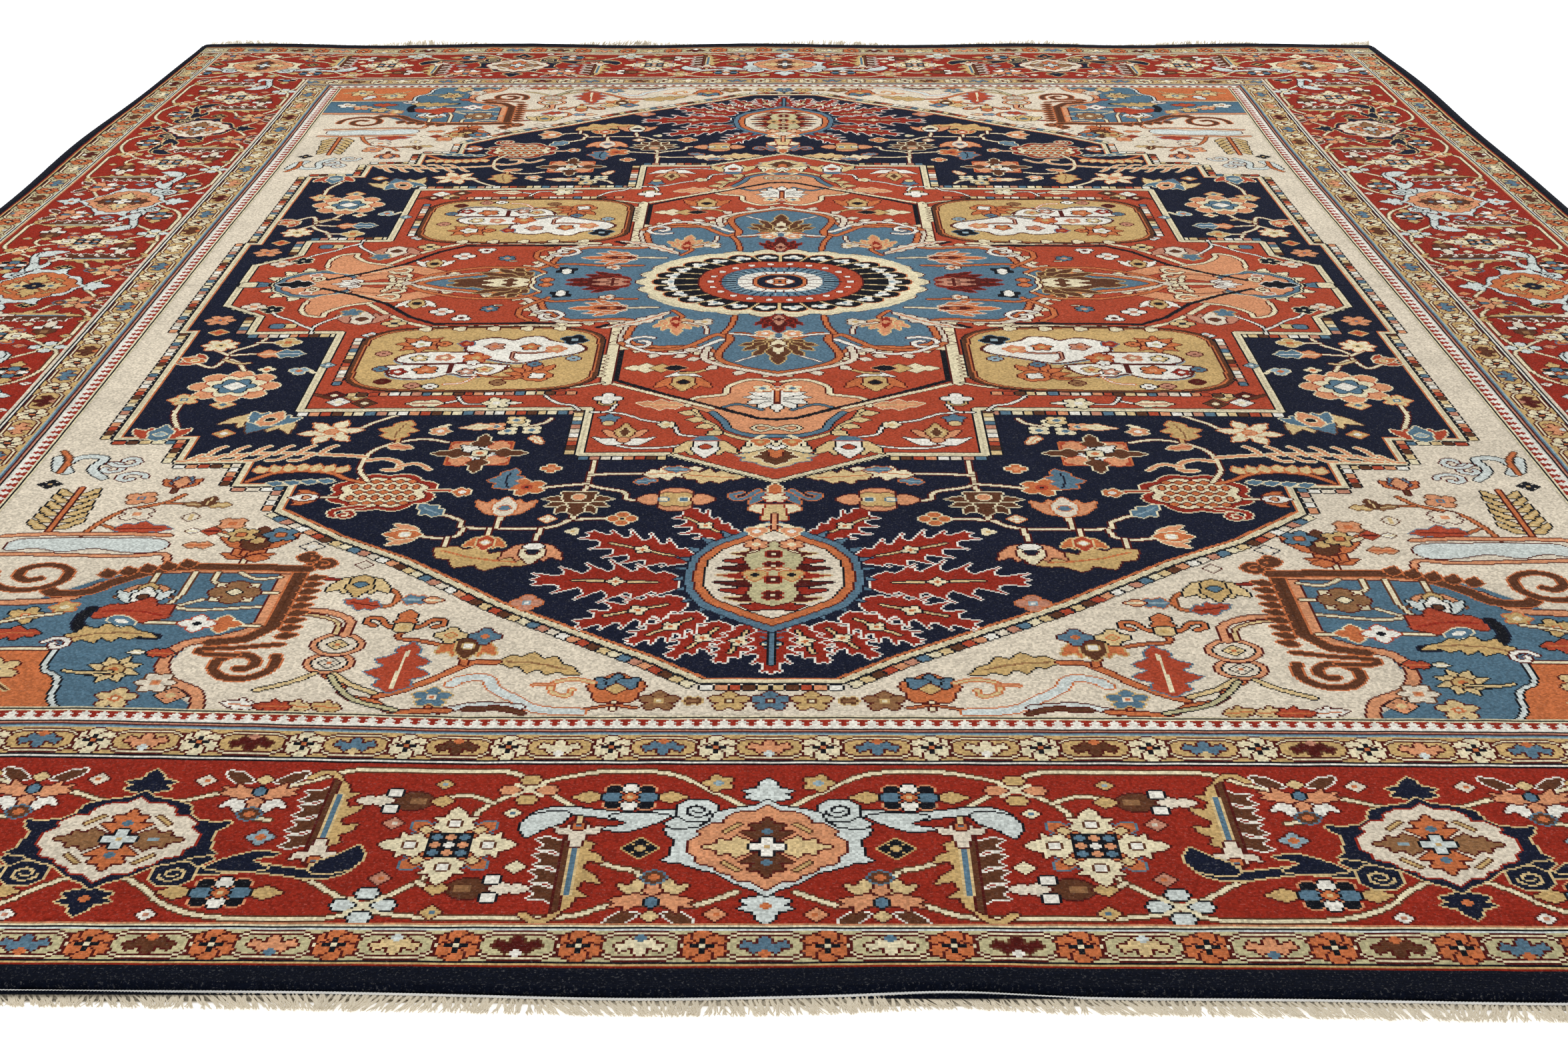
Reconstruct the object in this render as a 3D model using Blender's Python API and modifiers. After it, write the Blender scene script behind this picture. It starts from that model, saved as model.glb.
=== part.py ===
"""Hand-knotted area rug, nine by twelve feet, with a stepped medallion.

Metres, +Z up. The origin is at the middle of the underside. Warps run along Y, from one fringed end to
the other, and wefts run along X. Colour areas of the pile are counted in knots, as on a weaver's cartoon.
"""

import math

import bpy

# ---------------------------------------------------------------- driving sizes
KNOT = 0.00254  # one knot, in both directions: ten to the inch
RUG_KNOTS_WIDE = 1080
RUG_KNOTS_LONG = 1440

CLEARANCE = 0.0003  # between pieces that touch

FOUNDATION_THICKNESS = 0.0035  # cotton warps and wefts
PILE_HEIGHT = 0.0080

SELVEDGE_DIAMETER = 0.0076
SELVEDGE_CORE_DIAMETER = 0.0048

KILIM_LENGTH = 0.0060  # plain weave past the last row of knots
KILIM_THICKNESS = 0.0025
END_CORD_DIAMETER = 0.0032  # twined row that locks the knots in
FRINGE_LENGTH = 0.0190
FRINGE_THICKNESS = 0.0030

# Widths of the bands in knots, from the edge inwards. The ends have a wider plain guard than the sides.
END_GUARD = 18
SIDE_GUARD = 9
END_BANDS = {"outer_border": 23, "main_border": 101, "inner_border": 24, "dogtooth": 11}
SIDE_BANDS = {"outer_border": 24, "main_border": 103, "inner_border": 25, "dogtooth": 11}

# The cartoon of the field, a quarter of it, in knots from the middle: across the rug, then along it.
CARTOON_HALF_WIDTH = 368
CARTOON_HALF_LENGTH = 543
MEDALLION = [
    (349, 0), (349, 89), (342, 89), (342, 256), (304, 256), (304, 289), (269, 289), (269, 319),
    (242, 319), (242, 350), (207, 382), (172, 406), (122, 447), (51, 496), (28, 515), (0, 515),
]
RED_GROUND = [
    (334, 0), (334, 41), (310, 62), (310, 92), (258, 92), (258, 218), (102, 218), (102, 281),
    (55, 281), (0, 316),
]
CENTRE_GROUND = [
    (235, 0), (215, 12), (160, 30), (148, 56), (130, 76), (92, 76), (92, 112), (76, 125),
    (50, 125), (35, 136), (24, 150), (0, 166),
]
CARTOUCHE = [
    (104, 102), (118, 87), (226, 87), (240, 102), (240, 174), (226, 189), (118, 189), (104, 174),
]
SHIELD = [
    (368, 543), (368, 450), (322, 448), (300, 425), (262, 413), (216, 412), (216, 470), (246, 490),
    (252, 520), (228, 543),
]
ROSETTE_HALF_WIDTH = 88
ROSETTE_HALF_LENGTH = 65
ROSETTE_SIDES = 64

# ---------------------------------------------------------------- sizes that follow
HALF_WIDTH = RUG_KNOTS_WIDE * KNOT / 2
HALF_LENGTH = RUG_KNOTS_LONG * KNOT / 2
PILE_FLOOR = FOUNDATION_THICKNESS + CLEARANCE
PILE_TOP = PILE_FLOOR + PILE_HEIGHT
PILE_HALF_WIDTH = HALF_WIDTH - SELVEDGE_DIAMETER - CLEARANCE
FIELD_HALF_WIDTH = HALF_WIDTH - (SIDE_GUARD + sum(SIDE_BANDS.values())) * KNOT
FIELD_HALF_LENGTH = HALF_LENGTH - (END_GUARD + sum(END_BANDS.values())) * KNOT


# ---------------------------------------------------------------- materials
def srgb_to_linear(value):
    return value / 12.92 if value <= 0.04045 else ((value + 0.055) / 1.055) ** 2.4


def yarn(name, colour_hex, roughness):
    material = bpy.data.materials.new(name)
    material.use_nodes = True
    shader = material.node_tree.nodes["Principled BSDF"]
    channels = [srgb_to_linear(int(colour_hex[i : i + 2], 16) / 255) for i in (1, 3, 5)]
    shader.inputs["Base Color"].default_value = (*channels, 1.0)
    shader.inputs["Roughness"].default_value = roughness
    shader.inputs["Metallic"].default_value = 0.0
    material.diffuse_color = (*channels, 1.0)
    return material


# ---------------------------------------------------------------- shapes
def start_scene():
    for obj in list(bpy.data.objects):
        bpy.data.objects.remove(obj, do_unlink=True)
    rug = bpy.data.collections.new("area_rug")
    bpy.context.scene.collection.children.link(rug)
    return rug


def slab(rug, name, low, high, material):
    """A flat woven piece with square edges, between two corners."""
    size = [high[i] - low[i] for i in range(3)]
    middle = [(high[i] + low[i]) / 2 for i in range(3)]
    bpy.ops.mesh.primitive_cube_add(size=1.0, location=middle)
    obj = bpy.context.object
    obj.name = name
    obj.scale = size
    bpy.ops.object.transform_apply(location=False, rotation=False, scale=True)
    for collection in list(obj.users_collection):
        collection.objects.unlink(obj)
    rug.objects.link(obj)
    obj.data.materials.append(material)
    return obj


def shrunk(points, distance):
    """The outline moved inwards by a distance; the points run anticlockwise. A negative one moves it out."""
    moved = []
    for i, (x, y) in enumerate(points):
        before, after = points[i - 1], points[(i + 1) % len(points)]
        first = (x - before[0], y - before[1])
        second = (after[0] - x, after[1] - y)
        first_length, second_length = math.hypot(*first), math.hypot(*second)
        n1 = (-first[1] / first_length, first[0] / first_length)
        n2 = (-second[1] / second_length, second[0] / second_length)
        scale = distance / (1 + n1[0] * n2[0] + n1[1] * n2[1])
        moved.append((x + (n1[0] + n2[0]) * scale, y + (n1[1] + n2[1]) * scale))
    return moved


def pile_area(rug, name, outline, material, holes=()):
    """A block of pile with any outline, its edges clear of its neighbours by half the clearance each."""
    curve = bpy.data.curves.new(name, "CURVE")
    curve.dimensions = "2D"
    curve.fill_mode = "BOTH"
    curve.extrude = PILE_HEIGHT / 2
    loops = [shrunk(outline, CLEARANCE / 2)] + [shrunk(hole, -CLEARANCE / 2) for hole in holes]
    for loop in loops:
        spline = curve.splines.new("POLY")
        spline.points.add(len(loop) - 1)
        for point, (x, y) in zip(spline.points, loop):
            point.co = (x, y, 0.0, 1.0)
        spline.use_cyclic_u = True
    obj = bpy.data.objects.new(name, curve)
    obj.location.z = PILE_FLOOR + PILE_HEIGHT / 2
    rug.objects.link(obj)
    curve.materials.append(material)
    return obj


def rectangle(x_low, y_low, x_high, y_high):
    return [(x_low, y_low), (x_high, y_low), (x_high, y_high), (x_low, y_high)]


def on_rug(points, side, end):
    """Cartoon points of one quarter, laid on the rug in metres. A larger field stretches the cartoon."""
    across = FIELD_HALF_WIDTH / CARTOON_HALF_WIDTH
    along = FIELD_HALF_LENGTH / CARTOON_HALF_LENGTH
    return [(side * x * across, end * y * along) for x, y in points]


def anticlockwise(points):
    area = sum(a[0] * b[1] - b[0] * a[1] for a, b in zip(points, points[1:] + points[:1]))
    return points if area > 0 else points[::-1]


def without_repeats(points):
    kept = []
    for point in points:
        if not kept or math.dist(point, kept[-1]) > KNOT / 100:
            kept.append(point)
    if math.dist(kept[0], kept[-1]) <= KNOT / 100:
        kept.pop()
    return kept


def whole_outline(quarter):
    """A quarter outline mirrored both ways."""
    far = on_rug(quarter, 1, 1) + on_rug(quarter, -1, 1)[::-1]
    near = on_rug(quarter, -1, -1) + on_rug(quarter, 1, -1)[::-1]
    return anticlockwise(without_repeats(far + near))


def ellipse(half_width, half_length):
    points = []
    for i in range(ROSETTE_SIDES):
        turn = 2 * math.pi * (i + 0.5) / ROSETTE_SIDES
        x, y = half_width * math.cos(turn), half_length * math.sin(turn)
        points += on_rug([(abs(x), abs(y))], math.copysign(1, x), math.copysign(1, y))
    return anticlockwise(points)


def round_bar(rug, name, start, end, diameter, material, bore=0.0):
    """A straight round yarn bundle. With a bore it is an open-ended tube."""
    length = math.dist(start, end)
    middle = [(a + b) / 2 for a, b in zip(start, end)]
    along_y = abs(end[1] - start[1]) > abs(end[0] - start[0])
    turn = (math.pi / 2, 0, 0) if along_y else (0, math.pi / 2, 0)
    if bore:
        profile = bpy.data.meshes.new(name)
        outer, inner, half = diameter / 2, bore / 2, length / 2
        wall = [(outer, 0, half), (outer, 0, -half), (inner, 0, -half), (inner, 0, half)]
        profile.from_pydata(wall, [(0, 1), (1, 2), (2, 3), (3, 0)], [])
        obj = bpy.data.objects.new(name, profile)
        obj.location = middle
        obj.rotation_euler = turn
        rug.objects.link(obj)
        screw = obj.modifiers.new("turned", "SCREW")
        screw.steps = screw.render_steps = 24
        screw.use_merge_vertices = True
        screw.merge_threshold = 0.0001
    else:
        bpy.ops.mesh.primitive_cylinder_add(
            vertices=24, radius=diameter / 2, depth=length, location=middle, rotation=turn
        )
        obj = bpy.context.object
        obj.name = name
        for collection in list(obj.users_collection):
            collection.objects.unlink(obj)
        rug.objects.link(obj)
    obj.data.materials.append(material)
    obj.data.shade_smooth()
    return obj


# ---------------------------------------------------------------- foundation, ends and selvedges
def add_foundation(rug, cotton):
    low = (-PILE_HALF_WIDTH, -HALF_LENGTH, 0)
    high = (PILE_HALF_WIDTH, HALF_LENGTH, FOUNDATION_THICKNESS)
    slab(rug, "foundation", low, high, cotton)


def add_ends(rug, cotton):
    x = PILE_HALF_WIDTH
    for end, sign in (("near", -1), ("far", 1)):
        kilim_start = HALF_LENGTH + CLEARANCE
        fringe_start = kilim_start + KILIM_LENGTH + CLEARANCE
        for name, start, length, thickness in (
            ("kilim_end", kilim_start, KILIM_LENGTH, KILIM_THICKNESS),
            ("fringe", fringe_start, FRINGE_LENGTH, FRINGE_THICKNESS),
        ):
            low, high = sorted((sign * start, sign * (start + length)))
            slab(rug, f"{name}_{end}", (-x, low, 0), (x, high, thickness), cotton)
        cord_y = sign * (kilim_start + KILIM_LENGTH / 2)
        cord_z = KILIM_THICKNESS + CLEARANCE + END_CORD_DIAMETER / 2
        left, right = (-x, cord_y, cord_z), (x, cord_y, cord_z)
        round_bar(rug, f"end_cord_{end}", left, right, END_CORD_DIAMETER, cotton)


def add_selvedges(rug, cotton, navy_wool):
    bore = SELVEDGE_CORE_DIAMETER + 2 * CLEARANCE
    for side, sign in (("left", -1), ("right", 1)):
        x = sign * (HALF_WIDTH - SELVEDGE_DIAMETER / 2)
        z = SELVEDGE_DIAMETER / 2
        start, end = (x, -HALF_LENGTH, z), (x, HALF_LENGTH, z)
        round_bar(rug, f"selvedge_core_{side}", start, end, SELVEDGE_CORE_DIAMETER, cotton)
        round_bar(rug, f"selvedge_binding_{side}", start, end, SELVEDGE_DIAMETER, navy_wool, bore)


# ---------------------------------------------------------------- pile
def add_border_band(rug, name, outer, inner, material):
    """Four straight strips between two rectangles: the end strips run the full width."""
    (ox, oy), (ix, iy) = outer, inner
    strips = {
        "near": rectangle(-ox, -oy, ox, -iy),
        "far": rectangle(-ox, iy, ox, oy),
        "left": rectangle(-ox, -iy, -ix, iy),
        "right": rectangle(ix, -iy, ox, iy),
    }
    for place, outline in strips.items():
        pile_area(rug, f"{name}_{place}", outline, material)


def add_borders(rug, wools):
    outer = (PILE_HALF_WIDTH, HALF_LENGTH)
    x = HALF_WIDTH - SIDE_GUARD * KNOT
    y = HALF_LENGTH - END_GUARD * KNOT
    add_border_band(rug, "guard", outer, (x, y), wools["guard"])
    for name in END_BANDS:
        outer = (x, y)
        x -= SIDE_BANDS[name] * KNOT
        y -= END_BANDS[name] * KNOT
        add_border_band(rug, name, outer, (x, y), wools[name])


def add_field(rug, ivory, blue):
    """The ivory ground in four quarters round the medallion, each with the blue shield in its corner."""
    ground = [(0, CARTOON_HALF_LENGTH)] + MEDALLION[::-1] + [(CARTOON_HALF_WIDTH, 0)] + SHIELD[1:]
    for end, end_sign in (("near", -1), ("far", 1)):
        for side, side_sign in (("left", -1), ("right", 1)):
            outline = anticlockwise(on_rug(ground, side_sign, end_sign))
            pile_area(rug, f"field_{end}_{side}", outline, ivory)
            shield = anticlockwise(on_rug(SHIELD, side_sign, end_sign))
            pile_area(rug, f"spandrel_{end}_{side}", shield, blue)


def half_ring(outer, inner, end):
    """The near or the far half of the band of pile between two mirrored outlines."""
    right = on_rug(outer, 1, end) + on_rug(outer, -1, end)[::-1]
    left = on_rug(inner, -1, end) + on_rug(inner, 1, end)[::-1]
    return anticlockwise(without_repeats(right + left))


def add_medallion(rug, wools):
    for end, end_sign in (("near", -1), ("far", 1)):
        navy = half_ring(MEDALLION, RED_GROUND, end_sign)
        pile_area(rug, f"medallion_{end}", navy, wools["medallion"])
        cartouches = []
        for side, side_sign in (("left", -1), ("right", 1)):
            outline = anticlockwise(on_rug(CARTOUCHE, side_sign, end_sign))
            pile_area(rug, f"cartouche_{end}_{side}", outline, wools["cartouche"])
            cartouches.append(outline)
        ground = half_ring(RED_GROUND, CENTRE_GROUND, end_sign)
        pile_area(rug, f"red_ground_{end}", ground, wools["red"], cartouches)
    rosette = ellipse(ROSETTE_HALF_WIDTH, ROSETTE_HALF_LENGTH)
    pile_area(rug, "centre_ground", whole_outline(CENTRE_GROUND), wools["centre"], [rosette])
    pile_area(rug, "centre_rosette", rosette, wools["rosette"])


def build():
    rug = start_scene()
    cotton = yarn("cotton_undyed", "#CDBBA0", 0.95)
    navy = yarn("wool_navy", "#0B1330", 0.90)
    brick = yarn("wool_brick_red", "#9A3520", 0.90)
    ivory = yarn("wool_ivory", "#D9CDB4", 0.92)
    gold = yarn("wool_gold", "#B08B52", 0.92)
    blue = yarn("wool_mid_blue", "#4F7894", 0.92)
    sage = yarn("wool_sage_cream", "#B9B289", 0.92)
    add_foundation(rug, cotton)
    add_ends(rug, cotton)
    add_selvedges(rug, cotton, navy)
    borders = {"guard": navy, "outer_border": sage, "main_border": brick}
    borders |= {"inner_border": gold, "dogtooth": brick}
    add_borders(rug, borders)
    add_field(rug, ivory, blue)
    grounds = {"medallion": navy, "red": brick, "cartouche": gold, "centre": blue, "rosette": gold}
    add_medallion(rug, grounds)


build()
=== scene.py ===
import math

import bpy
import numpy as np
from mathutils import Matrix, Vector
from mathutils.bvhtree import BVHTree


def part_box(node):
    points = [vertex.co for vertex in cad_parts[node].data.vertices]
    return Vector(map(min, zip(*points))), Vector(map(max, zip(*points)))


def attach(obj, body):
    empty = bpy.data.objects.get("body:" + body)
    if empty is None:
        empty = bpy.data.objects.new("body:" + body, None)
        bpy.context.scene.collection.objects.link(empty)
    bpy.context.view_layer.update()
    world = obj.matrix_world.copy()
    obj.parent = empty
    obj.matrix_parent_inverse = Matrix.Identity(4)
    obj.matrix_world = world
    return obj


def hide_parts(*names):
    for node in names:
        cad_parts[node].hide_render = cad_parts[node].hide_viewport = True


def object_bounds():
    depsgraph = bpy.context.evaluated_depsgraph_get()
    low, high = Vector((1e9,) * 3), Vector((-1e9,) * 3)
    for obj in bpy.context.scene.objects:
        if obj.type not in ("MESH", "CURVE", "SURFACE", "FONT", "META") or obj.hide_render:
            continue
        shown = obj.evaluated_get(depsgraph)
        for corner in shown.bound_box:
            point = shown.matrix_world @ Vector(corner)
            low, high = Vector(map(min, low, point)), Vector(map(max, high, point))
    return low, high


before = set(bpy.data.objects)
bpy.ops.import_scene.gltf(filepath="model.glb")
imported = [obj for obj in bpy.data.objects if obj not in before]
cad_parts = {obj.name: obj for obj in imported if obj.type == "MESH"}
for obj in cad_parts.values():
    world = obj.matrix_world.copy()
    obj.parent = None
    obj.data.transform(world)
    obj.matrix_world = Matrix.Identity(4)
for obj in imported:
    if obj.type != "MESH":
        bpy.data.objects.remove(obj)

size_loaded = [list(corner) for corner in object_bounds()]
low, high = (np.array(corner) for corner in size_loaded)

# ---------------------------------------------------------------------------
# Camera: standing height at one end of the rug, looking down its length.
# ---------------------------------------------------------------------------
camera = bpy.data.objects.new("camera", bpy.data.cameras.new("camera"))
bpy.context.scene.collection.objects.link(camera)
camera.data.sensor_width = 36
camera.data.lens = 49.1
camera.matrix_world = (
    Matrix.Translation((0.0242, low[1] - 1.3482, 1.0241))
    @ Matrix.Rotation(math.radians(0.327), 4, "Z")
    @ Matrix.Rotation(math.radians(90 - 23.97), 4, "X")
    @ Matrix.Rotation(math.radians(-0.077), 4, "Z")
)
bpy.context.scene.camera = camera

# ---------------------------------------------------------------------------
# The design of the rug, as the weaver's cartoon: one square per knot, for a quarter of the rug, in dyed
# wools. It is drawn here from outlines and motifs, and every pile piece below takes its knots from it.
# ---------------------------------------------------------------------------

WOOLS = {
    "navy": "#12172A", "ink": "#0D0F17", "brick": "#8F2718", "maroon": "#4E140F", "rust": "#BE6A3E",
    "salmon": "#CF8E66", "pink": "#B98068", "gold": "#C0A069", "straw": "#CFB583", "cream": "#DDD1AE",
    "ivory": "#D7CBB6", "white": "#E2DED2", "sage": "#B9B087", "ice": "#C8CFCA", "blue": "#547183",
    "deep_blue": "#4E6C7E", "sky": "#8AA0A8", "brown": "#5A3420", "tan_brown": "#8A6240", "red": "#A8442B",
    "guard": "#080D1A",
}
DYE = {name: number for number, name in enumerate(WOOLS)}
BASE = 24  # over the number of wools, so that a few knots pack into one number, a digit each

# Drawing tools. Outlines are in knots, (across, along); brush() places a motif, and paint() colours its
# knots.


def plot(points):
    """Corner points in knots, (across, along), as one complex number each."""
    return np.array([complex(*p) for p in points]) if isinstance(points, (list, tuple)) else points


def smooth(points, closed=False, steps=6):
    """A curve through the points, with a few more between each pair."""
    p = plot(points)
    p = np.concatenate([p[-1:], p, p[:2]]) if closed else np.concatenate([p[:1], p, p[-1:]])
    t = np.arange(steps) / steps
    curve = [
        ((2 * b) + (c - a) * t + (2 * a - 5 * b + 4 * c - d) * t**2 + (3 * b - a - 3 * c + d) * t**3) / 2
        for a, b, c, d in zip(p, p[1:], p[2:], p[3:])
    ]
    return np.concatenate(curve + ([] if closed else [p[-1:]]))


def paint(paper, outline, wool, edge=None, line=None):
    """Colours the knots in a closed outline, or along a line of that width, with a one-knot edge."""
    z = plot(outline)
    pad = (line or 0) / 2 + 2
    high, wide = paper.shape
    x0, x1 = max(int(z.real.min() - pad), 0), min(int(z.real.max() + pad) + 1, wide)
    y0, y1 = max(int(z.imag.min() - pad), 0), min(int(z.imag.max() + pad) + 1, high)
    if x0 >= x1 or y0 >= y1:
        return
    across, along = np.arange(x0, x1) + 0.5, np.arange(y0, y1) + 0.5
    mask = np.zeros((len(along), len(across)), bool)
    if line:
        knots = across + 1j * along[:, None]
        for a, b in zip(z[:-1], z[1:]):
            span = b - a
            t = np.clip(((knots - a) * np.conj(span)).real / max(abs(span) ** 2, 1e-9), 0, 1)
            mask |= abs(knots - a - t * span) <= line / 2
    else:
        for a, b in zip(z, np.roll(z, -1)):
            if a.imag != b.imag:
                hit = (along >= min(a.imag, b.imag)) & (along < max(a.imag, b.imag))
                at = a.real + (along[hit] - a.imag) * (b.real - a.real) / (b.imag - a.imag)
                mask[hit] ^= across > at[:, None]
    view = paper[y0:y1, x0:x1]
    if edge:
        ring = mask.copy()
        ring[1:] |= mask[:-1]
        ring[:-1] |= mask[1:]
        ring[:, 1:] |= mask[:, :-1]
        ring[:, :-1] |= mask[:, 1:]
        view[ring] = DYE[edge]
    view[mask] = DYE[wool]


def brush(paper, x, y, degrees=0, size=1, flip=False):
    """Paints shapes drawn about their own middle, placed, turned, scaled and mirrored."""
    turn = size * np.exp(1j * np.radians(degrees))

    def draw(shape, wool, edge=None, line=None):
        z = plot(shape)
        z = -np.conj(z) if flip else z
        paint(paper, z * turn + complex(x, y), wool, edge, line and max(line * size, 1))

    return draw


def oval(rx, ry=None, x=0, y=0, corners=24):
    turns = 2 * np.pi * np.arange(corners) / corners
    return x + rx * np.cos(turns) + 1j * (y + (ry or rx) * np.sin(turns))


def lobed(lobes, radius, depth, squash=1, turn=0, sharp=1):
    """A round outline with lobes, like the edge of an open flower."""
    a = 2 * np.pi * np.arange(lobes * 12) / (lobes * 12)
    r = radius * (1 - depth * (1 - abs(np.cos(lobes * (a - np.radians(turn)) / 2)) ** sharp))
    return r * np.cos(a) + 1j * squash * r * np.sin(a)


def toothed(length, width, teeth, bite=0.45, curve=0):
    """A pointed leaf from its foot at the origin along +Y, with teeth, bent by so many degrees."""
    t = np.linspace(0, 1, teeth * 4 + 1)
    saw = 1 - bite * np.tile([1, 0.35, 0, 0.6], teeth + 1)[: len(t)]
    half = width * np.sin(np.pi * np.clip(t, 0.02, 1) ** 0.8) * saw
    spine = length * t * np.exp(1j * np.radians(90 + curve * (t - 0.3)))
    side = half * np.exp(1j * np.radians(curve * (t - 0.3)))
    return np.concatenate([spine + side, (spine - side)[::-1]])


def coil(radius, turns, start=0):
    """A spiral line, from the outside in."""
    t = np.linspace(0, 1, 28)
    return radius * (1 - 0.75 * t) * np.exp(1j * np.radians(start + 360 * turns * t))


def turned(shape, degrees):
    return shape * np.exp(1j * np.radians(degrees))


def both_sides(points):
    """An outline from its right half, whose ends lie on the middle line."""
    return plot(points + [(-a, b) for a, b in points[-2:0:-1]])


def mirrored(s, points):
    """The points as they are for 1, or mirrored for -1."""
    return plot([(s * x, y) for x, y in points])


def diamond(r, x=0, y=0):
    return plot([(x - r, y), (x, y + r), (x + r, y), (x, y - r)])


# Motifs of the main border, which is as a weaver draws it: each edge is stepped by the knots and outlined
# in one knot of a darker or paler wool.
def blossom(paper, x, y, petals, size, wool, edge, heart, core=None, degrees=0):
    """A small open flower, all petals alike."""
    pen = brush(paper, x, y, degrees)
    pen(lobed(petals, size, 0.5, sharp=0.7), wool, edge)
    pen(oval(size * 0.32), heart)
    if core:
        pen(oval(size * 0.14), core)


def fan_leaf(paper, x, y, up):
    """A comb-like leaf beside a blue rib: gold lobes on one side, brown and white branches on the other."""
    pen = brush(paper, x, y, 0 if up > 0 else 180, flip=up < 0)
    for n in range(4):
        t = 12 - 10 * n
        pen([(3, t + 6), (10, t + 9), (14, t + 8), (10, t + 4), (13, t + 1), (7, t + 1), (3, t - 4)],
            "brown", "white")
    pen(smooth([(2, -22), (4, -28), (9, -30), (14, -26)]), "gold", "maroon", line=2.8)
    pen([(2, 24), (-4, 25), (-3, 19), (-7, 17), (-5, 12), (-9, 10), (-11, 5), (-5, 6), (-4, 1), (-8, -2),
        (-11, -8), (-5, -6), (-3, -11), (-8, -16), (-3, -16), (-2, -22), (1, -24)], "gold", "maroon")
    pen([(3.4, 22), (3.4, -24)], "brown", "maroon", line=2)
    pen([(0, 14), (0, -14)], "blue", "straw", line=2.2)
    pen([(-9, 28), (-7, 23), (-3, 23), (-2, 15), (2, 15), (3, 23), (7, 23), (9, 28), (4, 27), (3, 31),
        (-3, 31), (-4, 27)], "ivory", "maroon")
    pen([(-2, 26), (2, 26), (2, 31), (-2, 31)], "rust", "maroon")
    pen(oval(1.2, y=29), "blue")
    pen([(0, 31), (0, 40)], "straw", "maroon", line=2)


def bud(paper, x, y, side):
    """A seed head lying along the vine, with two pale squares and a pale tip."""
    pen = brush(paper, x, y, 0, flip=side < 0)
    pen(oval(8, 6), "brown", "maroon")
    pen(toothed(15, 4.5, 2) * np.exp(-0.5j * np.pi) + 7, "ivory", "maroon")
    for t in (-5.5, 5.5):
        pen([(5, t - 2.2), (10, t - 2.2), (10, t + 2.2), (5, t + 2.2)], "white", "ink")
    pen(toothed(9, 4, 1) * np.exp(0.5j * np.pi) - 7, "gold", "maroon")
    pen(oval(3.4, 2.4, x=-2), "tan_brown")


def crown(paper, x, y, up, petal, side_petal):
    """A palmette seen from the side: pale upper petals, toothed lower ones and two dark feathers."""
    pen = brush(paper, x, y, 0 if up > 0 else 180)
    for s in (-1, 1):
        pen(mirrored(s, [(4, -10), (9, -9), (14, -13), (15, -18), (10, -17), (6, -14)]), "brown", "white")
        pen(mirrored(s, [(1, 2), (6, 3), (10, -1), (15, -2), (12, -4), (14, -7), (9, -6), (9, -10), (5, -6),
            (1, -5)]), side_petal, "maroon")
        pen(
            mirrored(s, [(2, 1), (3, 8), (6, 10), (8, 6), (12, 7), (11, 3), (8, 1), (5, 2)]),
            petal, "maroon",
        )
    pen(oval(2.2, 3, y=-4), "blue", "ink")
    pen(oval(2.6, 3, y=-12), "straw", "maroon")
    pen([(-1, 8), (-3, 3), (0, -1), (3, 3), (1, 8)], side_petal, "maroon")
    pen(oval(3.8, y=11), "brown", "blue")
    pen(oval(1.6, y=11), "rust")


def ringed_palmette(paper, x, y, ring, ring_edge, ground, petals, side_petals, heart):
    """The large flower of the main border: a scalloped ring, a pendant at each side and a flower inside."""
    pen = brush(paper, x, y)
    for s in (-1, 1):
        pen([(-2, s * 30), (-9, s * 33), (-6, s * 35.5), (-10, s * 38), (-4, s * 39), (-3, s * 43),
            (0, s * 46), (3, s * 43), (4, s * 39), (10, s * 38), (6, s * 35.5), (9, s * 33), (2, s * 30)],
            ring, ring_edge)
        pen(oval(1.6, y=s * 36), "rust" if s < 0 else ring)
    edge = [(0, 31), (5, 27), (13, 25), (19, 22), (20, 16), (25, 12), (31, 11), (36, 12), (35, 8), (32, 5),
        (33, -6), (37, -9), (30, -10), (25, -13), (16, -17), (12, -22), (5, -26), (0, -30)]
    both = both_sides(edge)
    pen(both, ring, ring_edge)
    inner = [(0, 27), (4, 23), (9, 23), (14, 20), (15, 15), (19, 15), (24, 11), (23, 7), (27, 4), (27, -3),
        (24, -7), (24, -10), (18, -12), (16, -16), (12, -17), (10, -21), (5, -21), (0, -26)]
    inner = both_sides(inner)
    pen(inner, ground, "brick" if ring == "navy" else "maroon")
    for turn in range(4):
        pen(np.array([13 + 9j, 9 + 13j]) * 1j**turn * 1.1, "gold", "brown", line=1.6)
    petal = plot([(0, 0), (-4, 5), (-9, 9), (-4, 10), (-6, 14), (-2.5, 14), (0, 19), (2.5, 14), (6, 14),
        (4, 10), (9, 9), (4, 5)])
    for turn in (1, -1):
        pen(petal * turn * 1.05, petals, "maroon")
        pen((petal.real * 0.85 + 1.22j * petal.imag) * 1j * turn, side_petals, "maroon")
        pen(oval(2.2, 1.6) + 10j * turn, "blue", petals)
        pen(oval(2.4, 1.4) + 12 * turn, "sky", side_petals)
    pen([(-1.6, -6), (1.6, -6), (1.6, -1.6), (6, -1.6), (6, 1.6), (1.6, 1.6), (1.6, 6), (-1.6, 6),
        (-1.6, 1.6), (-6, 1.6), (-6, -1.6), (-1.6, -1.6)], heart, "ink")
    pen(oval(1.2), "gold")


def crossing(paper, x, y, north, east, edge):
    """Where two vines cross: four small petals between them."""
    pen = brush(paper, x, y)
    for turn, wool in enumerate((east, north, east, north)):
        pen(oval(3.8, 3.4) + 7 * 1j**turn, wool, edge)
    pen([(-5, -4), (5, 4)], "cream", line=2)
    pen([(-5, 4), (5, -4)], "cream", line=2)


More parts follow.
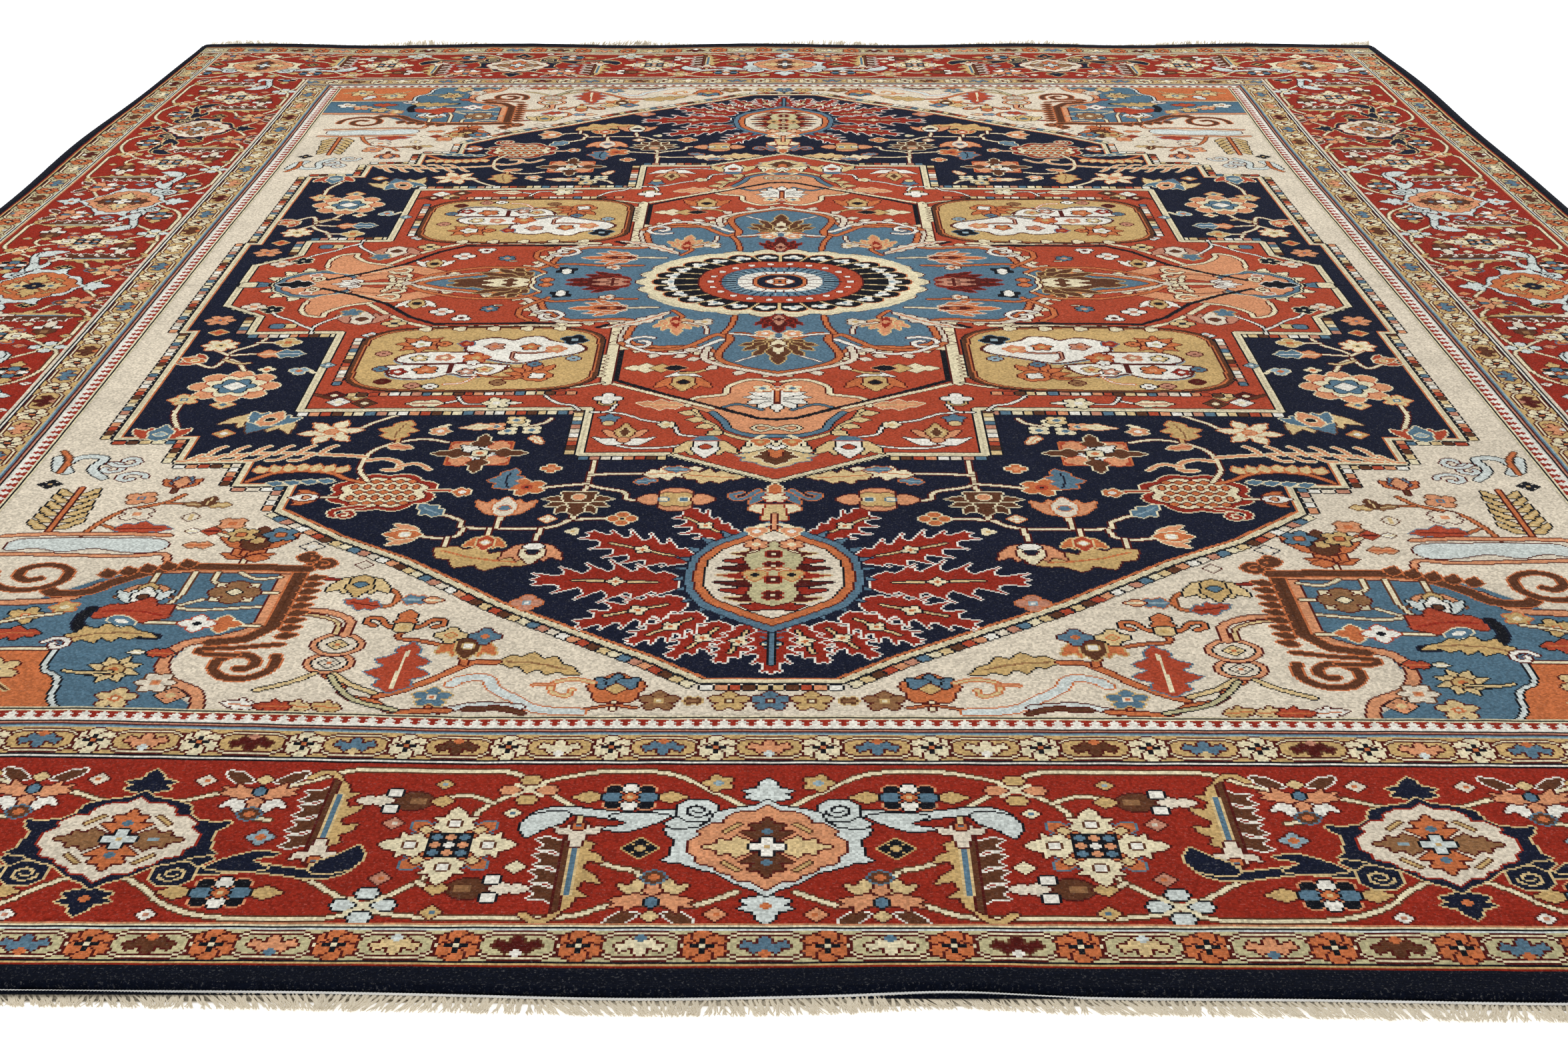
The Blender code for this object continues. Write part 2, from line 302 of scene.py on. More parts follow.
def arm(paper, x, y, wool, edge, up, flip=False):
    """The branching arm that reaches out of a large flower, with a curl at its root."""
    pen = brush(paper, x, y, flip=flip)
    pen(smooth([(22, 17 * up), (34, 19 * up), (50, 17 * up), (62, 19 * up), (74, 21 * up), (82, 18 * up),
        (86, 10 * up)]), wool, edge, line=4.6)
    pen(smooth([(36, 18 * up), (40, 12 * up), (50, 7 * up), (58, 9 * up), (50, 12 * up), (56, 18 * up)],
        closed=True), wool, edge)
    pen(smooth([(72, 20 * up), (73, 13 * up), (80, 8 * up), (85, 3 * up), (88, 10 * up), (84, 18 * up)],
        closed=True), wool, edge)
    pen(smooth([(24, 10 * up), (30, 8 * up), (36, 12 * up), (30, 18 * up), (24, 18 * up)], closed=True),
        wool, edge)
    pen(oval(7.5, x=25, y=21 * up), wool, edge)
    pen(coil(5, 1.4, start=180) + 25 + 21j * up, edge, line=1.1)


def cross_flower(paper, x, y):
    """Eight petals and two leaves: two petals are broad, two pale, and four dark at the corners."""
    pen = brush(paper, x, y)
    pen(toothed(13, 4, 1) * -1j + 9, "gold", "maroon")
    pen(toothed(13, 4, 1) * 1j - 9, "gold", "maroon")
    for a, b in ((-6, 5.4), (6, 5.4), (-6, -5.4), (6, -5.4)):
        pen(oval(3, 2.6, x=a, y=b), "ink", "salmon")
    for s in (-1, 1):
        pen(oval(3.8, 3.2, x=s * 6.5), "blue", "ink")
        pen(oval(3, 3.4, y=s * 5.6), "white", "ink")
    pen(oval(2.8), "rust", "ink")
    pen(oval(1.2), "straw")


def main_unit(first, last):
    """One repeat of the main border, 229 knots, between the middles of two large flowers with these arms."""
    band = np.full((101, 229), DYE["brick"], np.uint8)

    def vine(*points):
        paint(band, smooth(list(points)), "cream", "brown", line=2)

    vine((8, 72), (22, 85), (35, 95), (50, 97), (66, 96), (84, 89), (97, 78), (104, 70), (106, 64))
    vine((70, 72), (78, 80), (92, 94), (104, 97), (140, 97), (158, 96), (170, 89), (186, 81))
    vine((10, 18), (24, 10), (38, 11), (52, 10), (64, 4), (80, 3), (110, 3), (126, 5), (135, 9), (126, 17),
        (119, 24), (114, 32))
    vine((135, 9), (146, 16), (157, 25), (163, 30))
    vine((135, 9), (144, 3), (160, 2), (185, 3), (202, 10), (212, 20), (222, 27))
    vine((186, 80), (200, 80), (212, 75), (220, 72))
    vine((180, 62), (186, 64), (189, 70))
    vine((44, 31), (52, 33), (60, 38))
    vine((40, 22), (44, 30))
    vine((100, 75), (110, 80), (120, 78))
    vine((104, 20), (114, 20), (119, 24))
    for x, y, r, wool, core in (
        (86, 33, 4, "cream", "cream"), (134, 61, 4, "pink", "ivory"), (132, 26, 4, "pink", "rust"),
        (92, 68, 3.4, "cream", "blue"), (16, 5, 4, "salmon", "rust"), (209, 88, 4, "ivory", "rust"),
        (206, 4, 3.6, "white", "pink"), (111, 6, 4, "gold", "blue"), (120, 88, 3.6, "gold", "sky"),
        (34, 62, 3, "brick", "maroon"),
    ):
        paint(band, diamond(r, x, y), wool, "maroon")
        paint(band, oval(r * 0.35, x=x, y=y, corners=8), core)
    blossom(band, 44, 45, 4, 6, "ink", "gold", "gold")
    blossom(band, 180, 51, 4, 5, "sky", "maroon", "rust")
    blossom(band, 18, 89, 5, 6, "gold", "maroon", "sky")
    crossing(band, 88, 84, "gold", "salmon", "maroon")
    crossing(band, 135, 10, "ice", "ice", "ink")
    cross_flower(band, 50, 79)
    cross_flower(band, 185, 17)
    fan_leaf(band, 67, 31, 1)
    fan_leaf(band, 158, 65, -1)
    bud(band, 130, 76, 1)
    bud(band, 101, 20, -1)
    crown(band, 38, 16, 1, "straw", "salmon")
    crown(band, 188, 77, -1, "white", "salmon")
    pen = brush(band, 112, 47)
    petal = plot([(-3, 4), (-4, 9), (-8, 11), (-6, 15), (-8, 18), (-4, 18), (-3, 22), (0, 25), (3, 22),
        (4, 18), (8, 18), (6, 15), (8, 11), (4, 9), (3, 4)])
    for quarter in range(4):
        turn = 1j**quarter
        slant = np.exp(0.25j * np.pi) * turn
        pen(petal * 0.86 * slant, "rust", "blue")
        pen(oval(2.2) + 13.5j * slant, "straw", "maroon")
    for quarter in range(4):
        turn = 1j**quarter
        pen(petal * turn, "cream", "maroon")
        pen(oval(2.2) + 14j * turn, "white", "brown")
    pen([(-8, -8), (8, -8), (8, 8), (-8, 8)], "ink")
    for a in (-5, 0, 5):
        for b in (-5, 0, 5):
            pen(oval(2, x=a, y=b, corners=8), "salmon" if (a + b) % 2 else "blue")
    pen(oval(1.6), "white")
    arm(band, 0, 49, first, "straw" if first == "navy" else "ink", 1)
    arm(band, 229, 49, last, "straw" if last == "navy" else "ink", -1, flip=True)
    return band


# The narrow borders on both sides of the main one, their plain stripes, and the white dogtooth along the
# field.
def stretched(paper, wide):
    """The same drawing over more or fewer knots: the weaver repeats or drops a knot here and there."""
    return paper[:, (np.arange(wide) * paper.shape[1] / wide).astype(int)]


def minor_band(band, low, tall, ground, sprigs, petal, petal_edge, mark, core):
    """A narrow border's figures, on rows low to low + tall: cartouches with a sprig, and flowers between."""
    turn = np.linspace(0, 2 * np.pi, 32, endpoint=False)
    for n in range(band.shape[1] // 40 + 2):
        pen = brush(band, n * 40, low + tall / 2)
        across, up = np.cos(turn), np.sin(turn)
        for less, thread in ((0, "maroon"), (1, "cream"), (2, "maroon"), (3, ground)):
            rim_across = (14.4 - less * 0.8) * np.sign(across) * abs(across) ** 0.8
            rim_up = (tall / 2 - less) * np.sign(up) * abs(up) ** 0.62
            pen(rim_across + 1j * rim_up, thread)
        wool, heart = sprigs[n % len(sprigs)]
        tip = tall * 0.30 * (1 if n % 2 else -1)
        shape = [(0, -1.15), (1.8, -0.7), (2.4, -0.1), (6.6, -0.6), (8.2, 0.2), (5, 0.2), (4.2, 0.9),
            (2, 0.45), (0, 0.9)]
        shape = both_sides([(x, y * tip) for x, y in shape])
        pen(shape, wool, "maroon" if wool != "maroon" else "brown")
        pen(oval(1.8, y=tip * 0.75), heart)
        pen = brush(band, n * 40 + 20, low + tall / 2)
        for lobe in range(6):
            pen(oval(3.4, 3.1) + 4.9 * np.exp(1j * np.pi * (lobe / 3 + 1 / 6)), petal, petal_edge)
        for lobe in range(4):
            pen(oval(1.1) + 2.8 * 1j**lobe, mark)
        pen(oval(2), mark)
        pen(oval(1.4), core)


def lines(paper, start, wools):
    """Plain rows of knots, one after another, from the outside in."""
    for row, wool in enumerate(wools):
        paper[start + row] = DYE[wool]


def outer_minor(high, length):
    band = np.full((high, length), DYE["sage"], np.uint8)
    minor_band(band, 2.5, high - 6, "sage", [("blue", "rust"), ("cream", "blue"), ("maroon", "white"),
        ("straw", "ice"), ("salmon", "blue"), ("brown", "rust")], "rust", "maroon", "ink", "cream")
    lines(band, 0, ["brick", "gold", "ink"])
    lines(band, high - 4, ["ice", "ink", "cream", "salmon"])
    return band


def inner_minor(high, length):
    band = np.full((high, length), DYE["gold"], np.uint8)
    minor_band(band, 2.5, high - 7, "gold", [("salmon", "ice"), ("blue", "rust"), ("cream", "white"),
        ("brown", "rust"), ("blue", "straw"), ("maroon", "pink")], "cream", "maroon", "ink", "rust")
    lines(band, 0, ["ink", "white", "ink"])
    lines(band, high - 4, ["sky", "deep_blue", "maroon", "pink"])
    return band


def dogtooth(high, length):
    """White trefoils on red, one after another, between plain stripes."""
    band = np.full((high, length), DYE["brick"], np.uint8)
    lines(band, 0, ["ink"])
    lines(band, 1, ["white", "white"])
    x = np.arange(length) % 7
    for row, wide in enumerate((7, 5, 3, 5, 3, 1)):
        band[2 + row, abs(x - 3) <= wide // 2] = DYE["white"]
    lines(band, high - 3, ["cream", "ink", "cream"])
    return band


# The ground shapes of the field, each from its right half, in knots from the middle of the rug: the dark
# medallion with stepped sides, the red ground on it, the blue one at the centre, and the shield in each
# corner.
MIDDLE = 720
MEDALLION = [(349, 0), (349, 89), (342, 89), (342, 256), (304, 256), (304, 289), (269, 289), (269, 319),
    (242, 319), (242, 350), (207, 382), (172, 406), (122, 447), (51, 496), (28, 515), (0, 515)]
RED_GROUND = [(334, 0), (334, 41), (310, 62), (310, 92), (258, 92), (258, 218), (102, 218), (102, 281),
    (55, 281), (0, 316)]
CENTRE_GROUND = [(235, 0), (215, 12), (160, 30), (148, 56), (130, 76), (92, 76), (92, 112), (76, 125),
    (50, 125), (35, 136), (24, 150), (0, 166)]
SHIELD = [(368, 543), (368, 450), (322, 448), (300, 425), (262, 413), (216, 412), (216, 470), (246, 490),
    (252, 520), (228, 543)]
BRICKS = ["cream", "brown", "salmon", "ivory", "blue", "straw", "red", "white", "pink"]


def knots(points):
    """Points given as (across, from the middle of the rug) in rows counted from the end."""
    return [(x, MIDDLE - d) for x, d in points]


def bricks(paper, a, b, side, first, deep):
    """A course of small coloured blocks along one side of a line, each outlined."""
    a, b = complex(*a), complex(*b)
    ahead = (b - a) / abs(b - a)
    across = ahead * 1j * side
    count = max(int(abs(b - a) / 5.6), 1)
    for n in range(count):
        s = a + (b - a) * (n + 0.5) / count + across * 2.6
        half = abs(b - a) / count / 2 - 0.5
        block = [s - ahead * half, s + ahead * half, s + ahead * half + across * deep,
            s - ahead * half + across * deep]
        paint(paper, np.array(block), BRICKS[(first + n * 4) % len(BRICKS)], "ink")


def stem(paper, *points, wool="cream", edge="maroon", line=2.2):
    paint(paper, smooth(list(points), steps=4), wool, edge, line)


def tulip(paper, x, y, degrees, size, middle, sides, edge, heart):
    """A flower seen from the side, opening along its own +Y."""
    pen = brush(paper, x, y, degrees, size)
    for s in (-1, 1):
        pen(mirrored(s, [(1, -6), (7, -4), (11, 2), (12, 8), (7, 5), (5, 9), (2, 3)]), sides, edge)
    pen([(-4, -4), (-5, 4), (0, 12), (5, 4), (4, -4), (0, -7)], middle, edge)
    pen(oval(2.2, y=1), heart, edge)


def leaf(paper, x, y, degrees, size, wool, edge, rib, curve=25, length=34, width=9, teeth=4):
    """A serrated leaf with a rib, from its foot."""
    pen = brush(paper, x, y, degrees, size)
    pen(toothed(length, width, teeth, 0.5, curve), wool, edge)
    spine = [length * t * np.exp(1j * np.radians(90 + curve * (t - 0.3))) for t in (0.08, 0.35, 0.6, 0.8)]
    pen(np.array(spine), rib, line=1.2)


# The dark medallion: a flaming palmette at each end, and around it stems with flowers, leaves and hatched
# fruits.
def flame(paper, x, y, degrees, length, curve=0):
    """One red serrated leaf of the flaming palmette, edged white, with a small flower on its rib."""
    pen = brush(paper, x, y, degrees)
    t = np.linspace(0, 1, 25)
    saw = np.tile([0.46, 1.05, 0.74, 0.55], 7)[:25]
    half = length * 0.3 * np.sin(np.pi * (0.1 + 0.9 * t) ** 0.75) * saw + 0.4
    spine = length * t * np.exp(1j * np.radians(90 + curve * (t - 0.3)))
    lean = length * 0.1 * np.tile([0, 1.3, 0.3, 0], 7)[:25] * 1j
    body = np.concatenate([spine + half + lean, (spine - half + lean)[::-1]])
    pen(body, "brick", "white")
    mid = length * 0.42 * np.exp(1j * np.radians(90 + curve * 0.1))
    pen(np.array([0.15 * length * 1j, mid * 1.7]), "straw", "ink", line=1.4)
    pen(lobed(4, 4.2, 0.55, sharp=0.7) + mid, "cream", "ink")
    pen(oval(1.3) + mid, "rust")


def flaming_palmette(q):
    """The palmette at each end of the medallion: a netted heart, a ring, blue spikes and red flames."""
    for x, y, degrees, length, curve in ((20, 256, 212, 38, 8), (9, 254, 197, 36, 8), (0, 256, 180, 44, 0),
            (30, 264, 230, 40, 0), (38, 276, 250, 52, -10), (42, 294, 273, 68, 0), (38, 318, 292, 58, 10),
            (18, 340, 310, 46, 25)):
        flame(q, x, y, degrees, length, curve)
    for n in range(6):
        y = 251 - 5 * n
        paint(q, [(n - 7, y + 3), (0, y), (7 - n, y + 3)], "blue", line=1.3)
    paint(q, [(0, 256), (0, 220)], "blue", "ink", line=2)
    ring = [(0, 254), (13, 263), (28, 275), (34, 288), (35, 302), (33, 318), (26, 331), (12, 342), (0, 354)]
    both = both_sides(ring)
    middle = 304j
    for n in range(26):
        turn = np.exp(1j * (2 * np.pi * n / 26 + 0.1))
        paint(q, toothed(44 + 7 * abs(turn.imag), 8, 1) * turn * -1j + middle, "blue", "navy")
    paint(q, (both - middle) * 1.12 + middle, "blue", "navy")
    paint(q, both, "rust", "maroon")
    paint(q, (both - middle) * 0.87 + middle, "ivory", "ink")
    for n in range(9):
        y = 271 + 7.5 * n
        wide = (15, 22, 25, 26, 26, 26, 24, 19, 12)[n]
        pen = brush(q, 0, y)
        for s in (-1, 1):
            pen([(0, -2), (s * wide * 0.6, -3), (s * wide, 2 - n * 0.3), (s * wide * 0.62, 2),
                (s * wide * 0.55, 5), (0, 4)], "maroon" if n % 2 else "brick",
                "straw" if n % 3 == 1 else "ink")
    heart = [(0, 272), (8, 276), (11, 284), (9, 292), (13, 300), (10, 308), (13, 318), (10, 328), (5, 333),
        (0, 336)]
    pen = brush(q, 0, 0)
    body = both_sides(heart)
    pen(body, "sage", "maroon")
    for y, r in ((282, 3), (297, 2.4), (311, 3), (323, 2.4)):
        pen(lobed(4, r + 1.5, 0.5, turn=45) + y * 1j, "maroon", "brick")
        pen(oval(1.2, y=y), "cream")


def spiral_fruit(q, x, y):
    """The hatched round fruit: a scalloped rim around a pale netted middle."""
    pen = brush(q, x, y)
    pen(lobed(8, 27, 0.16, turn=22, squash=0.86), "brick", "cream")
    pen(lobed(8, 22, 0.16, turn=22, squash=0.86), "cream", "maroon")
    for a in range(-3, 4):
        for b in range(-2, 3):
            dot = complex(a * 6 + (b % 2) * 3, b * 6.5)
            if abs(dot) < 18:
                pen(lobed(4, 2.4, 0.4) + dot, "rust", "maroon")
    pen(smooth([(6, -17), (14, -19), (20, -22), (19, -28), (13, -28)]), "brick", "cream", line=3)
    pen(coil(4.5, 1, start=90) + 14 - 27j, "brick", "cream", line=2)


def medallion(q):
    outline = knots(MEDALLION)
    paint(q, plot(outline + [(-1, 205), (-1, 720)]), "navy")
    first = 0
    for a, b in zip(outline[:-1], outline[1:]):
        bricks(q, a, b, 1, first, deep=4.4)
        first += 5
    paint(q, [(x - 2.2, y + 2.2) for x, y in outline], "rust", line=2)
    paint(q, outline, "ink", line=4.8)
    paint(q, [(x - 0.4, y + 0.4) for x, y in outline], "cream", line=3.2)
    flaming_palmette(q)
    # the small flowers and their stems, from the flaming palmette outwards
    stem(q, (73, 361), (97, 360), (105, 353), (118, 350), (150, 351), (152, 358), (163, 366), (172, 369))
    stem(q, (97, 361), (99, 372), (96, 390), (94, 400), (93, 434))
    stem(q, (112, 350), (113, 338))
    stem(q, (134, 351), (133, 372))
    stem(q, (137, 350), (137, 342))
    stem(q, (150, 350), (152, 342), (160, 339), (172, 342))
    stem(q, (156, 340), (156, 326))
    stem(q, (62, 382), (72, 383), (75, 392), (90, 398), (94, 404))
    stem(q, (94, 402), (104, 400), (120, 396))
    stem(q, (94, 412), (82, 414), (66, 414))
    leaf(q, 160, 328, 118, 1.15, "gold", "maroon", "rust", curve=-20, length=46, width=11, teeth=4)
    tulip(q, 113, 327, 180, 1.25, "cream", "salmon", "maroon", "navy")
    pen = brush(q, 113, 331)
    pen(oval(5, 3), "white", "ink")
    tulip(q, 137, 336, 180, 0.85, "red", "rust", "straw", "white")
    tulip(q, 133, 372, 0, 1.25, "ivory", "salmon", "rust", "blue")
    tulip(q, 176, 343, -90, 1, "rust", "salmon", "cream", "white")
    blossom(q, 73, 361, 4, 7, "rust", "cream", "straw", "navy")
    blossom(q, 109, 275, 4, 7, "pink", "rust", "sky", "white")
    blossom(q, 96, 347, 3, 4, "cream", "navy", "gold")
    blossom(q, 110, 361, 4, 4, "cream", "rust", "white")
    leaf(q, 163, 366, -60, 0.7, "blue", "cream", "sky", curve=20, length=26, width=10, teeth=3)
    # palmettes of the lower field
    pen = brush(q, 97, 384, 180)
    for s in (-1, 1):
        for n, a in enumerate((30, 60, 88)):
            pen(toothed(20 - n, 4.5, 2) * np.exp(-1j * np.radians(s * a)), "brown", "cream")
    pen(toothed(21, 6, 2), "brown", "cream")
    pen([(-9, -8), (9, -8), (7, 4), (-7, 4)], "brown", "cream")
    pen(oval(3, y=-2), "salmon", "cream")
    pen = brush(q, 48, 383)
    pen(lobed(4, 19, 0.5, turn=0, squash=0.7, sharp=0.6), "salmon", "maroon")
    pen(lobed(4, 10, 0.4, turn=45), "gold", "maroon")
    pen(oval(2.4, x=-4), "blue", "cream")
    pen(oval(2.4, x=6), "cream", "blue")
    pen = brush(q, 0, 385)
    for s in (-1, 1):
        pen(smooth([(0, 8), (s * 9, 4), (s * 12, -8), (s * 5, -2), (0, -4)], closed=True), "blue", "rust")
        pen(smooth(mirrored(s, [(2, -10), (9, -8), (12, -14), (4, -18)]), closed=True), "cream", "rust")
    pen(toothed(20, 5, 2) - 2j, "rust", "cream")
    pen([(-4, -8), (4, -8), (6, -26), (-6, -26)], "straw", "brick")
    pen(lobed(6, 6, 0.4), "cream", "brick")
    for s in (-1, 1):
        paint(q, smooth(mirrored(s, [(8, 394), (13, 386), (18, 383), (21, 388), (16, 391)])), "blue", "rust",
            line=2.6)
    stem(q, (0, 366), (0, 350), wool="salmon")
    spiral_fruit(q, 196, 392)
    stem(q, (174, 394), (166, 394), (158, 392), wool="red", edge="cream", line=2.4)
    blossom(q, 157, 392, 5, 5, "rust", "cream", "white")
    stem(q, (218, 386), (226, 386))
    tulip(q, 231, 386, -90, 0.8, "white", "rust", "maroon", "salmon")
    # the upper part, beside the red ground
    for dx, wool in ((0, "cream"), (20, "straw")):
        leaf(q, 66 - dx, 413, 82 + dx, 0.8, wool, "maroon", "rust", curve=-10, length=40, width=12, teeth=4)
    leaf(q, 56, 420, 96, 0.5, "blue", "rust", "sky", curve=0, length=28, width=9, teeth=3)
    leaf(q, 70, 404, 80, 0.5, "blue", "rust", "sky", curve=0, length=24, width=9, teeth=3)
    blossom(q, 115, 421, 4, 5.5, "rust", "cream", "salmon")
    blossom(q, 125, 398, 5, 10, "rust", "cream", "red", "ink")
    leaf(q, 134, 396, -18, 0.9, "blue", "rust", "navy", curve=30, length=28, width=11, teeth=3)
    pen = brush(q, 155, 441)
    pen([(-16, -15), (16, -15), (16, 15), (-16, 15)], "red", "rust")
    for quarter in range(4):
        turn = 1j**quarter
        pen(lobed(3, 6, 0.3) * turn + 14 * (1 + 1j) * 0.7 * turn, "salmon", "red")
        pen(toothed(26, 6.5, 3, 0.5) * turn, "brown", "cream")
        pen(toothed(16, 4.5, 1) * turn * np.exp(0.25j * np.pi), "white", "ink")
        pen(oval(1.5) + 7 * turn, "ice")
    pen(oval(4.4), "cream", "ink")
    pen(oval(2), "rust")
    stem(q, (174, 456), (186, 460), (200, 456), (210, 446), (213, 430), (212, 418), (206, 406))
    stem(q, (200, 456), (200, 466), (202, 472), wool="gold")
    leaf(q, 203, 460, 4, 0.8, "gold", "rust", "tan_brown", curve=10, length=34, width=13, teeth=3)
    stem(q, (202, 453), (194, 450))
    leaf(q, 204, 452, 108, 0.6, "salmon", "cream", "red", curve=0, length=24, width=8, teeth=2)
    stem(q, (211, 432), (202, 434), (194, 428), (194, 420), (201, 420), wool="salmon", edge="cream",
        line=2.6)
    stem(q, (194, 424), (186, 428), (178, 420), wool="salmon", edge="cream")
    stem(q, (213, 437), (230, 440), (262, 443), (290, 437), (298, 436), wool="salmon", edge="cream",
        line=2.6)
    for n in range(6):
        x = 236 + 11 * n
        stem(q, (x, 441), (x - 3, 449), (x - 6, 452), wool="salmon", edge="cream")
        stem(q, (x + 3, 441), (x + 8, 434), (x + 13, 433), wool="salmon", edge="cream")
    stem(q, (208, 404), (216, 408), (226, 416), (240, 419), (254, 416), (264, 406), wool="rust",
        edge="maroon", line=2.6)
    for n in range(7):
        x = 223 + 6 * n
        paint(q, toothed(10, 4, 1) * np.exp(-0.5j * (n - 3) / 4) + complex(x, 419 - abs(n - 3) * 0.8),
            "straw", "rust")
    for n in range(4):
        paint(q, toothed(9, 3, 1) * np.exp(-1.3j) + complex(222 + 8 * n, 405 - n), "blue", "cream")
    pen = brush(q, 138, 476)
    for a, b, wool in ((0, 6, "cream"), (-7, -4, "cream"), (6, -5, "cream"), (13, 1, "salmon"),
            (3, 10, "straw")):
        pen(lobed(4, 6, 0.35, turn=45) + complex(a, b), wool, "ink")
        pen(oval(1.8) + complex(a, b), "blue", "cream")
    stem(q, (122, 488), (125, 482), (132, 478))
    leaf(q, 152, 478, -98, 0.6, "cream", "salmon", "straw", curve=0, length=30, width=7, teeth=1)
    leaf(q, 130, 464, 150, 0.6, "cream", "rust", "salmon", curve=0, length=22, width=6, teeth=2)
    stem(q, (196, 499), (208, 492), (216, 484), (222, 476), (228, 473))
    pen = brush(q, 236, 471, 20)
    for n in range(6):
        pen(toothed(17, 5, 2, 0.4) * np.exp(1j * np.pi * n / 3), "cream", "rust")
    pen(oval(3), "salmon", "rust")
    tulip(q, 272, 489, 200, 1.7, "blue", "straw", "brown", "rust")
    tulip(q, 271, 488, 20, 1.2, "salmon", "blue", "cream", "ink")
    blossom(q, 290, 470, 4, 5, "gold", "rust", "white")
    tulip(q, 322, 469, 0, 1.2, "blue", "red", "cream", "sky")
    blossom(q, 300, 512, 4, 6, "straw", "rust", "blue")
    # the strip beside the red ground
    pen = brush(q, 300, 540)
    pen(lobed(8, 24, 0.3, squash=1, sharp=0.7), "salmon", "cream")
    pen(lobed(8, 17, 0.3, turn=22), "cream", "brick")
    pen(lobed(6, 11, 0.35), "blue", "ink")
    pen(lobed(4, 6, 0.4), "white", "ink")
    stem(q, (300, 564), (306, 578), (314, 586), (312, 598), (302, 608), (298, 622))
    stem(q, (314, 586), (318, 570), (326, 575), (332, 580))
    stem(q, (314, 590), (324, 600), (324, 606), (320, 612))
    stem(q, (302, 611), (288, 611))
    stem(q, (312, 590), (300, 592), (292, 592))
    stem(q, (314, 582), (306, 576), (300, 577), wool="straw")
    blossom(q, 322, 607, 7, 10, "cream", "rust", "straw", "ink")
    leaf(q, 298, 592, 92, 0.9, "salmon", "rust", "cream", curve=0, length=20, width=8, teeth=2)
    leaf(q, 288, 592, 92, 0.9, "blue", "cream", "white", curve=0, length=18, width=9, teeth=2)
    blossom(q, 285, 611, 4, 7, "gold", "cream", "rust")
    tulip(q, 330, 582, -60, 0.8, "rust", "red", "cream", "gold")
    blossom(q, 328, 630, 4, 5, "rust", "straw", "red")
    blossom(q, 332, 652, 6, 9, "salmon", "ink", "rust", "blue")
    blossom(q, 288, 566, 4, 5, "cream", "ink", "rust")
    blossom(q, 322, 520, 5, 8, "straw", "rust", "blue", "cream")
    stem(q, (322, 512), (322, 498), (316, 480))


